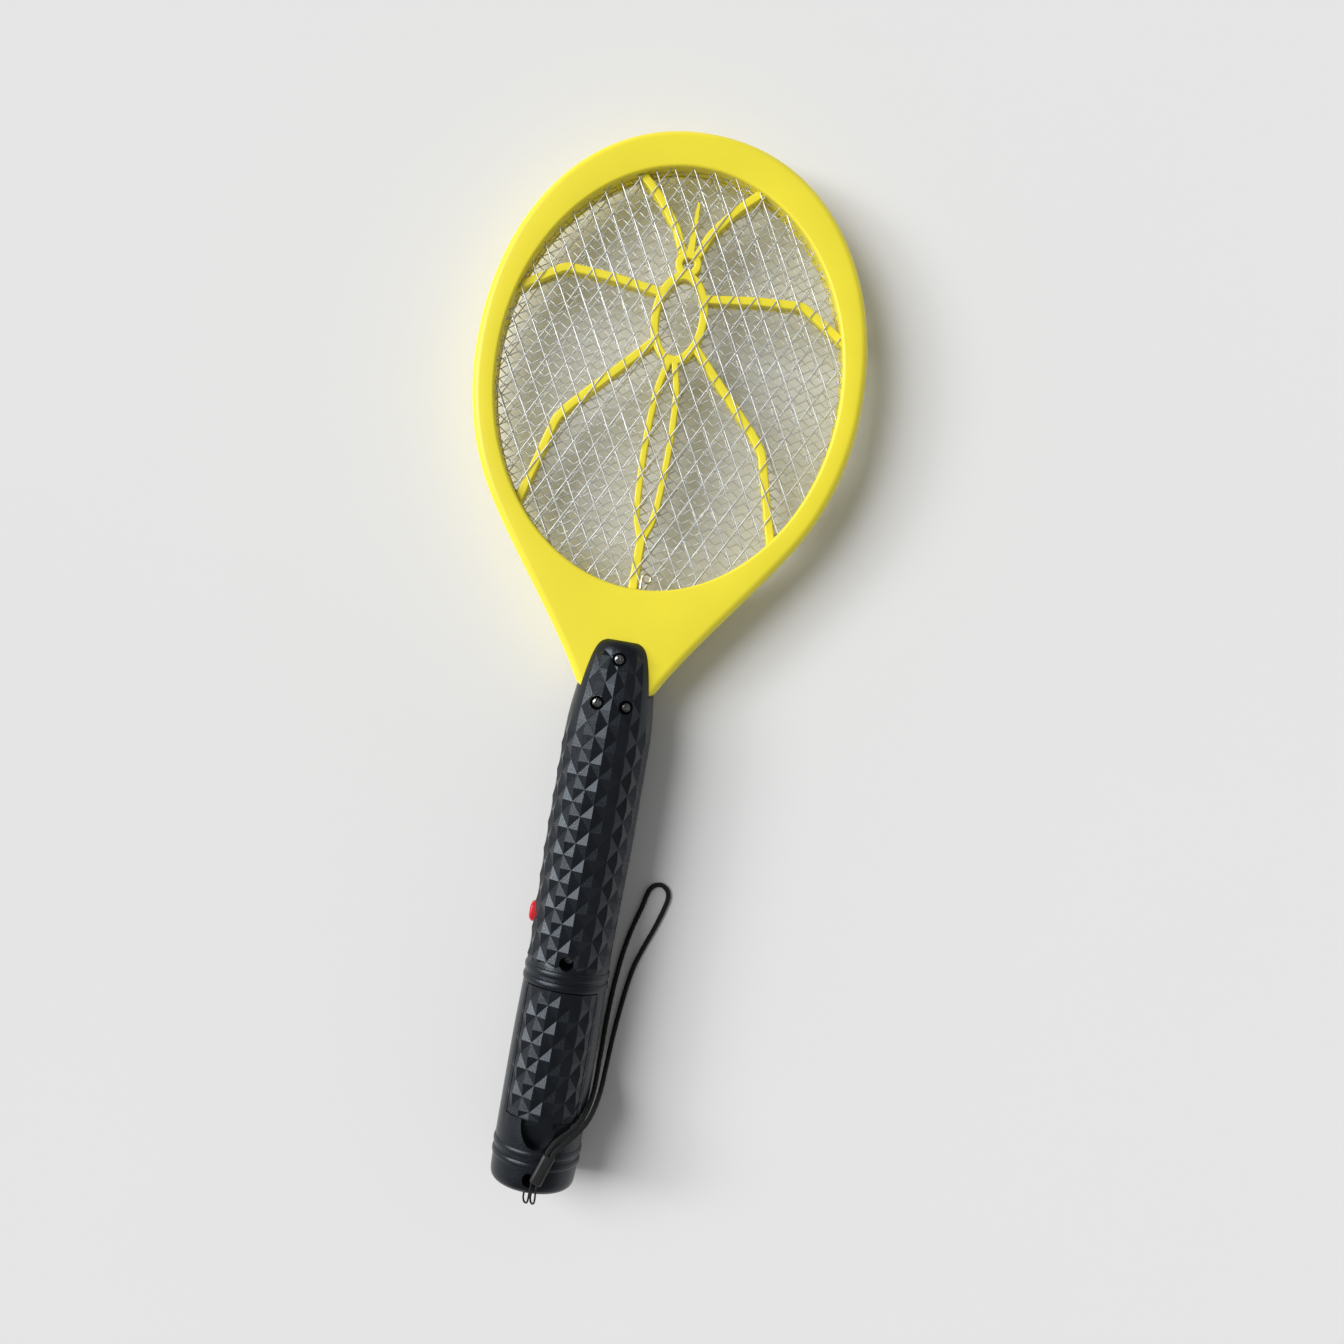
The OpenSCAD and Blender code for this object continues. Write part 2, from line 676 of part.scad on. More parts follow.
module front_shell() color(black) in_frame() {
    difference() {
        half_loft(skin_rows);
        // Hollow, leaving the screw bosses, the bay's walls and the notch's floor
        difference() {
            half_loft(cavity_rows(grip_wall));
            for (i = [0 : 2])
                translate([screws[i][0], screws[i][1], head_h]) cylinder(h = top_z, d = boss_d);
            for (i = [3 : 4])
                translate([screws[i][0], screws[i][1], -1]) cylinder(h = top_z, d = boss_d);
            difference() {
                block(bay_hw + bay_wall, bay_y0 - bay_wall, bay_y1 + bay_wall, -1, top_z);
                block(bay_hw, bay_y0, bay_y1, -2, top_z + 1);
            }
            block(notch_hw + 2, cover_y0 - notch_len - 2, bay_y0, notch_z - 2, top_z);
        }
        throat_room();
        // Opening for the cover
        block(cover_hw + cover_gap, cover_y0, cover_y1, ledge_z, top_z);
        // Room for the cover's tab
        block(tab_hw + 0.5, bay_y1 - 1, hinge_y + 5, tab_z - 2, tab_z + 2.4);
        // Thumb notch
        translate([0, 0, notch_z])
            linear_extrude(top_z)
            intersection() {
                polygon(ellipse_pts(notch_hw, notch_len, cover_y0, 48));
                translate([-notch_hw, cover_y0 - notch_len - 1]) square([2 * notch_hw, notch_len + 1.2]);
            }
        for (s = screws) {
            translate([s[0], s[1], s[2]]) cylinder(h = top_z, d = recess_d);
            translate([s[0], s[1], -1]) cylinder(h = top_z, d = screw_hole_d);
        }
        button_prism(-grip_hw - 4, -grip_hw + 6, button_gap);
        // Slots for the tails of the contact plates
        for (x = [-plate_tail_x, plate_tail_x])
            translate([x - 1.5, bay_y1 - 0.3, plate_tail_z - 0.7])
            cube([3, bay_wall + 0.8, plate_t + 1]);
        // Holes for the strap's string
        for (x = strings_x)
            translate([x, -1, string_z])
            rotate([-90, 0, 0])
            cylinder(h = 3.2, d = string_d + 0.3, $fn = 24);
    }
    // Floor of the bay, which dips into the rear half
    difference() {
        block(
            bay_hw + bay_wall - 0.2, bay_y0 - bay_wall + 0.2, bay_y1 + bay_wall - 0.2,
            bay_floor - 1.3, 0.5
        );
        block(bay_hw, bay_y0, bay_y1, bay_floor, 1);
    }
}

post_places = [for (x = [-1, 1]) for (y = [board_y0 + 4, board_y1 - 4]) [x * (board_hw - 2.6), y]];

module rear_shell() color(black) in_frame() mirror([0, 0, 1]) {
    difference() {
        half_loft(skin_rows);
        difference() {
            half_loft(cavity_rows(grip_wall));
            for (i = [0 : 2])
                translate([screws[i][0], screws[i][1], head_h]) cylinder(h = top_z, d = boss_d);
            for (i = [3 : 4])
                translate([screws[i][0], screws[i][1], 0]) cylinder(h = top_z, d = boss_d);
            // Posts under the circuit board
            for (p = post_places)
                translate([p[0], p[1], board_drop + board_t]) cylinder(h = top_z, d = 4.4);
        }
        throat_room();
        for (s = screws)
            translate([s[0], s[1], -1]) cylinder(h = screw_len - s[2] + 1.3, d = pilot_d + 0.6);
        button_prism(-grip_hw - 4, -grip_hw + 6, button_gap);
    }
}

module battery_cover() color(black) in_frame() {
    difference() {
        intersection() {
            half_loft(skin_rows);
            block(cover_hw, cover_y0 - 1, hinge_y + 0.5, ledge_z + 0.3, top_z);
            // The lower edge is struck from the turning line, so that it clears the grip
            translate([-cover_hw - 1, hinge_y, hinge_z])
                rotate([0, 90, 0])
                cylinder(h = 2 * cover_hw + 2, r = hinge_y - cover_y0 - cover_gap, $fn = 96);
        }
        half_loft(cavity_rows(cover_t));
    }
    // Tab that hooks under the grip above the cover
    block(tab_hw, hinge_y - 5, hinge_y + 3.4, tab_z, tab_z + 2);
    block(tab_hw, hinge_y - 5, hinge_y - 0.6, tab_z + 0.5, grip_hh - 1);
    // Thumb lip in the notch
    block(notch_hw - 2, cover_y0 - 2.8, cover_y0 + 2.2, notch_z + 1, notch_z + 2.8);
    block(notch_hw - 2, cover_y0 + 0.6, cover_y0 + 2.2, notch_z + 1.5, grip_hh - 1.4);
}

module handle_screws() color(steel) in_frame() {
    for (s = screws) translate(s) {
        difference() {
            rotate_extrude()
                polygon([
                    [0, 0], [screw_head_d / 2, 0], [screw_head_d / 2, screw_head_h * 0.4],
                    [screw_head_d * 0.36, screw_head_h * 0.88], [screw_head_d * 0.2, screw_head_h],
                    [0, screw_head_h]
                ]);
            // Cross recess
            for (a = [0, 90])
                rotate(a + 20)
                translate([-screw_head_d * 0.3, -0.4, screw_head_h - 1.3])
                cube([screw_head_d * 0.6, 0.8, 2]);
        }
        translate([0, 0, -screw_len])
            rotate_extrude()
            polygon([
                [0, 0], [pilot_d / 2 - 0.4, 0], [pilot_d / 2, 1.2],
                [pilot_d / 2, screw_len + 0.2], [0, screw_len + 0.2]
            ]);
    }
}

// Button and switch

button_face = -half_w(button_y) - button_out;
button_root = -half_w(button_y) + grip_wall + 0.9;
switch_hw = 4;
switch_x = -board_hw + 1;
plunger_d = 3;

module push_button() color(red) in_frame() {
    // Cap with a crowned face
    intersection() {
        button_prism(button_face - 1, button_root, 0);
        translate([button_face + 14, button_y, 0]) cylinder(h = 40, r = 14, center = true, $fn = 96);
    }
    // Flange behind the wall
    button_prism(button_root, button_root + 1.2, 0.9);
}

module switch_plunger() color([0.9, 0.9, 0.88]) in_frame()
    translate([button_root + 1.2, button_y, 0])
    rotate([0, 90, 0])
    cylinder(h = switch_x - button_root - 1.2 + 2, d = plunger_d);

module switch_housing() color([0.2, 0.2, 0.22]) in_frame()
    difference() {
        translate([switch_x, button_y - switch_hw, board_z])
            cube([2 * switch_hw, 2 * switch_hw, board_drop + switch_hw]);
        translate([switch_x - 1, button_y, 0])
            rotate([0, 90, 0])
            cylinder(h = 3 + button_travel + 1, d = plunger_d + 0.12);
    }

// Circuit

module circuit_board() color(board_green) in_frame()
    difference() {
        block(board_hw, board_y0, board_y1, board_z - board_t, board_z);
        for (p = post_places)
            translate([p[0], p[1], board_z - board_t - 1]) cylinder(h = board_t + 2, d = 1.6, $fn = 24);
    }

core = [16, 14, 12];
core_y = board_y0 + 0.48 * board_len;

module transformer_core() color([0.25, 0.25, 0.26]) in_frame()
    translate([0, core_y, board_z])
    difference() {
        block(core[0] / 2, -core[1] / 2, core[1] / 2, 0, core[2]);
        for (s = [-1, 1])
            translate([s * 4.1 - 1.6, -core[1], 2]) cube([3.2, 2 * core[1], core[2] - 4]);
    }

module transformer_winding() color(copper) in_frame()
    translate([0, core_y, board_z + 2])
    difference() {
        block(5.6, -core[1] / 2 - 2.6, core[1] / 2 + 2.6, 0, core[2] - 4);
        block(2.5, -core[1] / 2 - 0.01, core[1] / 2 + 0.01, -1, core[2]);
    }

cap_y = board_y0 + 0.83 * board_len;

module storage_capacitor() color([0.55, 0.12, 0.10]) in_frame()
    translate([0, cap_y, board_z])
    linear_extrude(12) {
        for (s = [-1, 1]) translate([s * 6, 0]) circle(d = 8);
        square([12, 8], center = true);
    }

module transistor() color([0.14, 0.14, 0.15]) in_frame()
    translate([6, board_y0 + 0.28 * board_len, board_z])
    linear_extrude(5)
    difference() {
        circle(d = 5);
        translate([-5, 1.4]) square(10);
    }

module axial_part(x, y, l, d) {
    translate([x - l / 2, y, board_z + d / 2]) rotate([0, 90, 0]) cylinder(h = l, d = d, $fn = 24);
}

module board_diodes() color([0.16, 0.16, 0.18]) in_frame()
    for (f = [0.67, 0.72, 0.92]) axial_part(0, board_y0 + f * board_len, 4.4, 2.6);

module board_resistors() color([0.78, 0.68, 0.50]) in_frame()
    for (f = [0.15, 0.205]) axial_part(6, board_y0 + f * board_len, 6.4, 2.4);

// Cells and contacts

function cell_profile() = [
    [0, 0], [cell_d / 2 - 0.6, 0], [cell_d / 2, 0.6], [cell_d / 2, cell_len - 1.9],
    [cell_d / 2 - 0.6, cell_len - 1.3], [2.7, cell_len - 1.3], [2.7, cell_len], [0, cell_len]
];

// A cell along +Y from its flat end
module cell() {
    rotate([-90, 0, 0]) rotate_extrude() polygon(cell_profile());
}

cell_y0 = bay_y0 + plate_t;
cell_y1 = bay_y1 - plate_t;

module aa_cell_left() color([0.10, 0.12, 0.40]) in_frame()
    translate([-cell_x, cell_y1 - cell_len, cell_z]) cell();

module aa_cell_right() color([0.10, 0.12, 0.40]) in_frame()
    translate([cell_x, cell_y0 + cell_len, cell_z]) mirror([0, 1, 0]) cell();

// One tube swept along points, with frames carried from ring to ring
function tangents(p) = [
    for (i = [0 : len(p) - 1])
        unit(p[min(i + 1, len(p) - 1)] - p[max(i - 1, 0)])
];

function carried(t, i, n) =
    i == len(t) ? [] : let (m = unit(n - t[i] * (n * t[i]))) concat([m], carried(t, i + 1, m));

module tube(p, d, sides, start) {
    t = tangents(p);
    a = carried(t, 0, start);
    n = len(p);
    polyhedron(
        points = [
            for (i = [0 : n - 1]) for (k = [0 : sides - 1])
                p[i] + d / 2 * (cos(360 * k / sides) * a[i] + sin(360 * k / sides) * cross(t[i], a[i]))
        ],
        faces = concat(
            [[for (k = [0 : sides - 1]) k]],
            [for (i = [0 : n - 2]) for (k = [0 : sides - 1])
                [i * sides + k, (i + 1) * sides + (k + 1) % sides, i * sides + (k + 1) % sides]],
            [for (i = [0 : n - 2]) for (k = [0 : sides - 1])
                [i * sides + k, (i + 1) * sides + k, (i + 1) * sides + (k + 1) % sides]],
            [[for (k = [0 : sides - 1]) n * sides - 1 - k]]
        )
    );
}

// Points of a contact spring that narrows from the plate to the cell
function spring_pts() = [
    for (i = [0 : 8 * spring_turns])
        let (s = i / (8 * spring_turns), r = spring_r - 1.2 * s)
        [r * cos(45 * i), spring_wire / 2 + 0.03 + s * (spring_l - spring_wire - 0.06), r * sin(45 * i)]
];

function least_gap(p, skip) = min([
    for (i = [0 : len(p) - 1 - skip]) for (j = [i + skip : len(p) - 1]) norm(p[i] - p[j])
]) - spring_wire;

module contact_springs() color(steel) in_frame() {
    echo(spring_self_gap = least_gap(spring_pts(), 5));
    translate([-cell_x, cell_y0, cell_z]) tube(spring_pts(), spring_wire, 6, [1, 0, 0]);
    translate([cell_x, cell_y1, cell_z]) mirror([0, 1, 0]) tube(spring_pts(), spring_wire, 6, [1, 0, 0]);
}

plate_hw = spring_r + 0.9;
plate_tail_x = cell_x + 2.7;
plate_tail_z = bay_floor + 3.9;

module contact_plates() color(steel) in_frame() {
    // Bridge between the two cells
    block(cell_x + plate_hw, bay_y0, bay_y0 + plate_t, bay_floor, cell_z + spring_r - 0.4);
    // A plate for each cell at the upper end, with a tail for its lead
    for (s = [-1, 1]) {
        translate([s * cell_x - plate_hw, bay_y1 - plate_t, bay_floor])
            cube([2 * plate_hw, plate_t, cell_z + spring_r - 0.4 - bay_floor]);
        translate([s * plate_tail_x - 1.2, bay_y1 - plate_t, plate_tail_z - plate_t / 2])
            cube([2.4, bay_wall + 2, plate_t]);
    }
}

module battery_leads() color([0.75, 0.1, 0.1]) in_frame()
    for (s = [-1, 1]) tube([
        [s * plate_tail_x, bay_y1 - plate_t + bay_wall + 2, plate_tail_z],
        [s * plate_tail_x, bay_y1 + bay_wall + 4, plate_tail_z],
        [s * plate_tail_x, bay_y1 + bay_wall + 6, plate_tail_z - 0.7],
        [s * plate_tail_x, board_y0 - 2, board_z + lead_d / 2 + 0.7],
        [s * plate_tail_x, board_y0, board_z + lead_d / 2],
        [s * plate_tail_x, board_y0 + 4, board_z + lead_d / 2]
    ], lead_d, 8, [1, 0, 0]);

// Wrist strap. The points below are the strap's own route, in millimetres.

sleeve_at = [2.8, 7];
sleeve_turn = -18;
sleeve_z = 21.4;

bore_x = 1.25;

// Points on the axes of the sleeve's two bores, side is -1 or 1
function bore_pt(side, s) = [
    sleeve_at[0] + side * bore_x * cos(sleeve_turn) - s * sin(sleeve_turn),
    sleeve_at[1] + side * bore_x * sin(sleeve_turn) + s * cos(sleeve_turn),
    sleeve_z
];

string_route = concat(
    [
        [-1.6, 2, 13.2], [-1.6, 0, 13.2], [-1.6, -1.8, 13.6], [-1.5, -3, 15.2], [-1.3, -3.2, 17.4],
        [-0.9, -2, 19.4], [-0.2, 0.4, 20.6], [0.6, 3.4, 21.2]
    ],
    [bore_pt(-1, -1), bore_pt(-1.3, 1.4), bore_pt(-1.5, 3.4), bore_pt(-1.2, 4.8), bore_pt(-0.45, 5.6)],
    [bore_pt(0.45, 5.6), bore_pt(1.2, 4.8), bore_pt(1.5, 3.4), bore_pt(1.3, 1.4), bore_pt(1, -1)],
    [
        [3.3, 3, 21.2], [2.8, 0.4, 20.6], [2.2, -2, 19.4],
        [1.8, -3.2, 17.4], [1.7, -3, 15.2], [1.6, -1.8, 13.6], [1.6, 0, 13.2], [1.6, 2, 13.2]
    ]
);

// Out of the sleeve, over the side of the grip, down to the surface, round and back
cord_route = concat(
    [for (s = [-4, 0, 2]) bore_pt(-1, sleeve_len + s)],
    [
        [8.4, 25.6, 20.4], [11.4, 28.2, 18.4], [14.6, 30.2, 15.2], [17.6, 33.4, 11.4],
        [19.8, 37.6, 6.4], [21, 42, 0.6], [21.4, 46.6, -5.2], [21.4, 51.8, -10.4],
        [21.4, 58, -14.8], [21.4, 65, -17.4], [21.5, 73, -18.4], [21.8, 82, -18.4],
        [22.4, 92, -18.4], [23.4, 102, -18.4], [24.8, 111, -18.4], [26.6, 119, -18.4],
        [28.8, 127, -18.4], [30.2, 133.4, -18.4], [32, 137.2, -18.4], [35.4, 138.8, -18.4],
        [38.8, 137.2, -18.4], [40.2, 133.4, -18.4], [38.8, 126.4, -18.4], [36, 117.4, -18.4],
        [32.6, 108, -18.4], [29.8, 99, -18.4], [28.2, 90, -18.4], [27, 80, -18.4],
        [26.2, 71.4, -18.4], [25.6, 64, -17.6], [25.2, 57.4, -15.2],
        [24.9, 51.6, -11.4], [24.6, 46.6, -6.2], [24, 42.2, -0.4], [22.8, 37.8, 5.2], [20.8, 33.6, 9.8],
        [18, 30.2, 13.8], [15, 27.4, 17], [12, 24.8, 19.6]
    ],
    [for (s = [2, 0, -4]) bore_pt(1, sleeve_len + s)]
);

module strap_string() color(black) in_frame() tube(string_route, string_d, 8, [1, 0, 0]);

module strap_sleeve() color([0.16, 0.16, 0.17]) in_frame()
    translate([sleeve_at[0], sleeve_at[1], sleeve_z])
    rotate([-90, 0, sleeve_turn])
    linear_extrude(sleeve_len)
    difference() {
        union() {
            for (s = [-1, 1]) translate([s * (sleeve_w - sleeve_h) / 2, 0]) circle(d = sleeve_h);
            square([sleeve_w - sleeve_h, sleeve_h], center = true);
        }
        for (s = [-1, 1]) translate([s * bore_x, 0]) circle(d = cord_d + 0.1);
        square([2 * bore_x, string_d + 0.2], center = true);
    }

module strap_cord() color(black) in_frame() tube(cord_route, cord_d, 8, [0, 0, 1]);

front_frame();
rear_frame();
front_spacer();
rear_spacer();
front_net();
middle_net();
rear_net();
net_terminals();
high_voltage_leads();
front_shell();
rear_shell();
battery_cover();
handle_screws();
push_button();
switch_plunger();
switch_housing();
circuit_board();
transformer_core();
transformer_winding();
storage_capacitor();
transistor();
board_diodes();
board_resistors();
aa_cell_left();
aa_cell_right();
contact_springs();
contact_plates();
battery_leads();
strap_string();
strap_sleeve();
strap_cord();
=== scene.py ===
"""Looks of an electric fly swatter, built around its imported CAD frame.

Shapes are worked out in millimetres from the butt of the grip (y = 0), with the
joint plane of the two halves at z = 0, and placed in the frame by place().
"""

import functools
import math

import bmesh
import bpy
from mathutils import Matrix, Vector


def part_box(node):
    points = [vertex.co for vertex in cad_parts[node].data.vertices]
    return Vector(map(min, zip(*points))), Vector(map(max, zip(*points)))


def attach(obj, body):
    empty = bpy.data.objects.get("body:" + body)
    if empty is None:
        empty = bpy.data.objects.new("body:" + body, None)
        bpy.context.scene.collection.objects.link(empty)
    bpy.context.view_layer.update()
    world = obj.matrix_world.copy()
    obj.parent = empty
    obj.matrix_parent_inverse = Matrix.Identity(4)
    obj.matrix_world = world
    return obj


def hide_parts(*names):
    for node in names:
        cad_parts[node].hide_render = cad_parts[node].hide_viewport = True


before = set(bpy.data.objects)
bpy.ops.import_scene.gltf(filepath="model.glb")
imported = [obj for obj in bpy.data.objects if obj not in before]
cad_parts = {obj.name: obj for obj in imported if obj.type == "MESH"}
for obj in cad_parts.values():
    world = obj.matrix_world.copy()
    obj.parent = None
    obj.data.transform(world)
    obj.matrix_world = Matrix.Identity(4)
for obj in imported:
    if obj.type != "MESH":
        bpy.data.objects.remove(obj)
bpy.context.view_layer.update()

MM = 0.001
BUTT_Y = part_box("rear_shell")[0][1]
JOINT_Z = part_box("front_frame")[0][2]

# Sizes in millimetres, with the CAD model's values where it has them

# Head: opening, rim, throat, and the tang inside the grip
OPEN_RX, OPEN_RY, OPEN_CY = 77.7, 95.7, 367.7
HEAD_RX, HEAD_RY, HEAD_CY = 88.2, 110.2, 369.8
HEAD_POWER = 2.12
HEAD_H = 8.0
HEAD_ROUND = 3.6
LIP_Z = 5.2
REBATE = 5.0
HEAD_DRAFT = 0.06
JOINT_EDGE = 0.22
LIP_ROUND = 1.3
SEAT_GAP = 0.1
THROAT_ANGLE = math.radians(-37)
THROAT_PULL = 25
THROAT_END_Y = 227
TANG_HW = 12.5
TANG_Y0, TANG_Y1 = 203.0, 222

# Spacers: ribs, oval, ring and spike between the nets
RIB_W = 3.8
OVAL_CY, OVAL_RX, OVAL_RY = 396.3, 10.9, 19.3
RING_CY, RING_R = 420.9, 4.25
SPIKE_Y0, SPIKE_Y1 = RING_CY + 4.8, RING_CY + 28
SPACER_Z0, SPACER_Z1 = 0.4, 4.4

# Outer nets and middle net
NET_PITCH, NET_ANGLE, NET_Z = 8.25, math.radians(28.3), 4.8
MID_PITCH, MID_ANGLE = 3.8, math.radians(55)
NET_LIFT = 0.19

# Grip. Above NARROW_Y the field of diamonds is narrower
GRIP_LEN = 248.0
GRIP_HW = 19.5
GRIP_HH = 19.0
WALL = 2.2
COLUMNS = 12
DIAMOND_HI, DIAMOND_LO, DIAMOND_PY = 0.6, 0.35, 6
DIAMOND_YS = [102.4 + DIAMOND_PY * j for j in range(24)]
NARROW_Y = GRIP_LEN - 43
RIDGES = [13, 17.8, 92.8, 97.6]
RIDGE_H, RIDGE_HW = 0.6, 1.7
JOINT_GROOVE = 0.18
TOP_Z = GRIP_HH + 6

# Cover, thumb notch, the cover's tab, and the battery bay with its tray and slots for leads
COVER_Y0, COVER_Y1, COVER_HW, COVER_T = 32.5, 91.0, 15.4, 2.0
COVER_GAP = 0.3
LEDGE_Z = 7.68
HINGE_Y, HINGE_Z = 90.0, 18.3
NOTCH_HW, NOTCH_LEN, NOTCH_Z = 8.0, 12.2, 13.2
TAB_HW, TAB_Z, TAB_T, TAB_OUT = 3.0, 13.9, 2, 3.4
BAY_HW, BAY_Y0, BAY_Y1, BAY_WALL, BAY_FLOOR = 14.9, 33.2, 90.2, 1.3, -0.9
TRAY_WALL, TRAY_T = 1.1, 1.3
LEAD_X, LEAD_HW, LEAD_Z0, LEAD_Z1 = 10, 1.5, 2.3, 3.8

# Screws: x, y and height of the seat under the head
SCREWS = [(0, 239.5, 11.5), (-6.5, 219, 11.5), (6.5, 219, 11.5), (0, 103.4, 8), (0, 6.9, 8)]
RECESS_D, BOSS_D, SCREW_HOLE_D, PILOT_D, SCREW_LEN = 6.4, 8.6, 3.4, 2.5, 24

# Button
BUTTON_Y, BUTTON_LEN, BUTTON_W = 120.7, 9.6, 6.4
BUTTON_OUT, BUTTON_GAP, BUTTON_ROUND, BUTTON_FLANGE = 2.4, 0.35, 1.3, 0.9

# Strap, the string's holes in the butt, and the height of the cord's axis on the floor
STRING_D, CORD_D = 0.9, 2.3
HOLE_X, HOLE_Z, HOLE_R = 1.6, 13.2, 0.65
CORD_LIES = -18.4


def place(p):
    """A point in millimetres from the butt, in the frame's metres."""
    return (p[0] * MM, p[1] * MM + BUTT_Y, p[2] * MM + JOINT_Z)


# Camera

CAMERA_AT = (0.02395, -0.0019, 0.5982)
CAMERA_ROLL = math.radians(9.79)
CAMERA_ANGLE = math.radians(55.66)


def make_camera():
    data = bpy.data.cameras.new("camera")
    data.sensor_fit = "HORIZONTAL"
    data.angle = CAMERA_ANGLE
    camera = bpy.data.objects.new("camera", data)
    camera.location = CAMERA_AT
    camera.rotation_euler = (0, 0, CAMERA_ROLL)
    bpy.context.collection.objects.link(camera)
    bpy.context.scene.camera = camera


make_camera()


# Materials

NOISE_LOW, NOISE_HIGH = 0.3, 0.7
GLOSS_SPREAD = 0.18
BUMP_M = 0.0002
CELL_BLUE = (0.03, 0.045, 0.22)


def noise(nodes, links, coords, scale, detail):
    """A noise from 0 to 1 over the coordinates."""
    node = nodes.new("ShaderNodeTexNoise")
    node.inputs["Scale"].default_value = scale
    node.inputs["Detail"].default_value = detail
    links.new(coords, node.inputs["Vector"])
    return node.outputs["Fac"]


def spread(nodes, links, value, low, high):
    """Maps the middle of a noise to a range."""
    node = nodes.new("ShaderNodeMapRange")
    node.inputs["From Min"].default_value = NOISE_LOW
    node.inputs["From Max"].default_value = NOISE_HIGH
    node.inputs["To Min"].default_value = low
    node.inputs["To Max"].default_value = high
    links.new(value, node.inputs["Value"])
    return node.outputs["Result"]


def material(name, colour, rough, metallic=0.0, specular=0.5, mottle=0.06, patch=40, grain=1800,
             bump=0.05, sheen=0.0, tint=(1, 1, 1)):
    """A procedural finish with uneven colour and gloss and a fine grain. patch and grain are noise scales."""
    mat = bpy.data.materials.new(name)
    mat.use_nodes = True
    nodes, links = mat.node_tree.nodes, mat.node_tree.links
    shader = nodes["Principled BSDF"]
    shader.inputs["Metallic"].default_value = metallic
    shader.inputs["Specular IOR Level"].default_value = specular
    shader.inputs["Sheen Weight"].default_value = sheen
    shader.inputs["Specular Tint"].default_value = (*tint, 1)
    coords = nodes.new("ShaderNodeTexCoord").outputs["Object"]
    patches = noise(nodes, links, coords, patch, 4)
    ramp = nodes.new("ShaderNodeValToRGB")
    for stop, at, factor in zip(ramp.color_ramp.elements, (0.32, 0.68), (1 - mottle, 1 + mottle)):
        stop.position = at
        stop.color = tuple(min(1, c * factor) for c in colour) + (1,)
    links.new(patches, ramp.inputs["Fac"])
    links.new(ramp.outputs["Color"], shader.inputs["Base Color"])
    fine = noise(nodes, links, coords, grain, 3)
    gloss = spread(nodes, links, fine, rough * (1 - GLOSS_SPREAD), min(1, rough * (1 + GLOSS_SPREAD)))
    links.new(gloss, shader.inputs["Roughness"])
    bumps = nodes.new("ShaderNodeBump")
    bumps.inputs["Strength"].default_value = bump
    bumps.inputs["Distance"].default_value = BUMP_M
    links.new(fine, bumps.inputs["Height"])
    links.new(bumps.outputs["Normal"], shader.inputs["Normal"])
    return mat


def cell_material(name, node, tip_up):
    """A cell's plain printed sleeve: blue with a silver end and bare metal ends, along the cell."""
    mat = material(name, CELL_BLUE, 0.32, metallic=0.35, mottle=0.04, patch=120, bump=0.02)
    nodes, links = mat.node_tree.nodes, mat.node_tree.links
    shader = nodes["Principled BSDF"]
    low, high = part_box(node)
    coords = nodes.new("ShaderNodeTexCoord")
    axes = nodes.new("ShaderNodeSeparateXYZ")
    links.new(coords.outputs["Object"], axes.inputs["Vector"])
    along = nodes.new("ShaderNodeMapRange")
    along.inputs["From Min"].default_value = low[1] if tip_up else high[1]
    along.inputs["From Max"].default_value = high[1] if tip_up else low[1]
    links.new(axes.outputs["Y"], along.inputs["Value"])
    ramp = nodes.new("ShaderNodeValToRGB")
    ramp.color_ramp.interpolation = "CONSTANT"
    silver, blue, steel = (0.62, 0.63, 0.65, 1), (*CELL_BLUE, 1), (0.55, 0.55, 0.54, 1)
    stops = [(0, steel), (0.012, blue), (0.66, silver), (0.70, blue), (0.715, silver), (0.965, steel)]
    for at, colour in stops[2:]:
        ramp.color_ramp.elements.new(at).color = colour
    for stop, (at, colour) in zip(ramp.color_ramp.elements, stops):
        stop.position, stop.color = at, colour
    links.new(along.outputs["Result"], ramp.inputs["Fac"])
    links.new(ramp.outputs["Color"], shader.inputs["Base Color"])
    return mat


YELLOW = material("yellow_plastic", (0.95, 0.82, 0.045), 0.34, specular=0.4, mottle=0.03, patch=25,
                  grain=2400, bump=0.03)
BLACK = material("black_plastic", (0.0055, 0.0065, 0.0090), 0.28, specular=0.40, mottle=0.3, patch=90,
                 grain=2600, bump=0.35, tint=(0.80, 0.90, 1.0))
RED = material("red_plastic", (0.66, 0.012, 0.022), 0.34, specular=0.45, mottle=0.05, patch=200)
NET = material("net_metal", (0.68, 0.69, 0.70), 0.46, metallic=1.0, mottle=0.06, patch=140,
               grain=3000, bump=0.06)
BRASS = material("contact_metal", (0.66, 0.55, 0.33), 0.32, metallic=1.0, mottle=0.08, patch=300)
ZINC = material("screw_steel", (0.22, 0.225, 0.23), 0.38, metallic=1.0, mottle=0.10, patch=400,
                grain=3500, bump=0.08)
SCREW = material("screw_dark", (0.22, 0.22, 0.225), 0.26, metallic=1.0, mottle=0.2, patch=400,
                 grain=1500, bump=0.6)
LEAD = material("lead_jacket", (0.50, 0.02, 0.02), 0.45, mottle=0.06, patch=300)
WHITE = material("switch_white", (0.76, 0.76, 0.72), 0.45, mottle=0.03, patch=200)
DARK = material("switch_black", (0.02, 0.02, 0.022), 0.45, mottle=0.15, patch=250)
BOARD = material("board", (0.03, 0.16, 0.06), 0.40, mottle=0.12, patch=160, grain=1500, bump=0.08)
FERRITE = material("ferrite", (0.035, 0.035, 0.037), 0.62, mottle=0.15, patch=300, grain=2500, bump=0.25)
WINDING = material("winding", (0.42, 0.15, 0.04), 0.34, metallic=0.8, mottle=0.12, patch=500,
                   grain=4000, bump=0.3)
DIPPED = material("capacitor_coat", (0.28, 0.02, 0.012), 0.28, mottle=0.08, patch=200, bump=0.06)
RESISTOR = material("resistor_coat", (0.52, 0.38, 0.18), 0.50, mottle=0.08, patch=300)
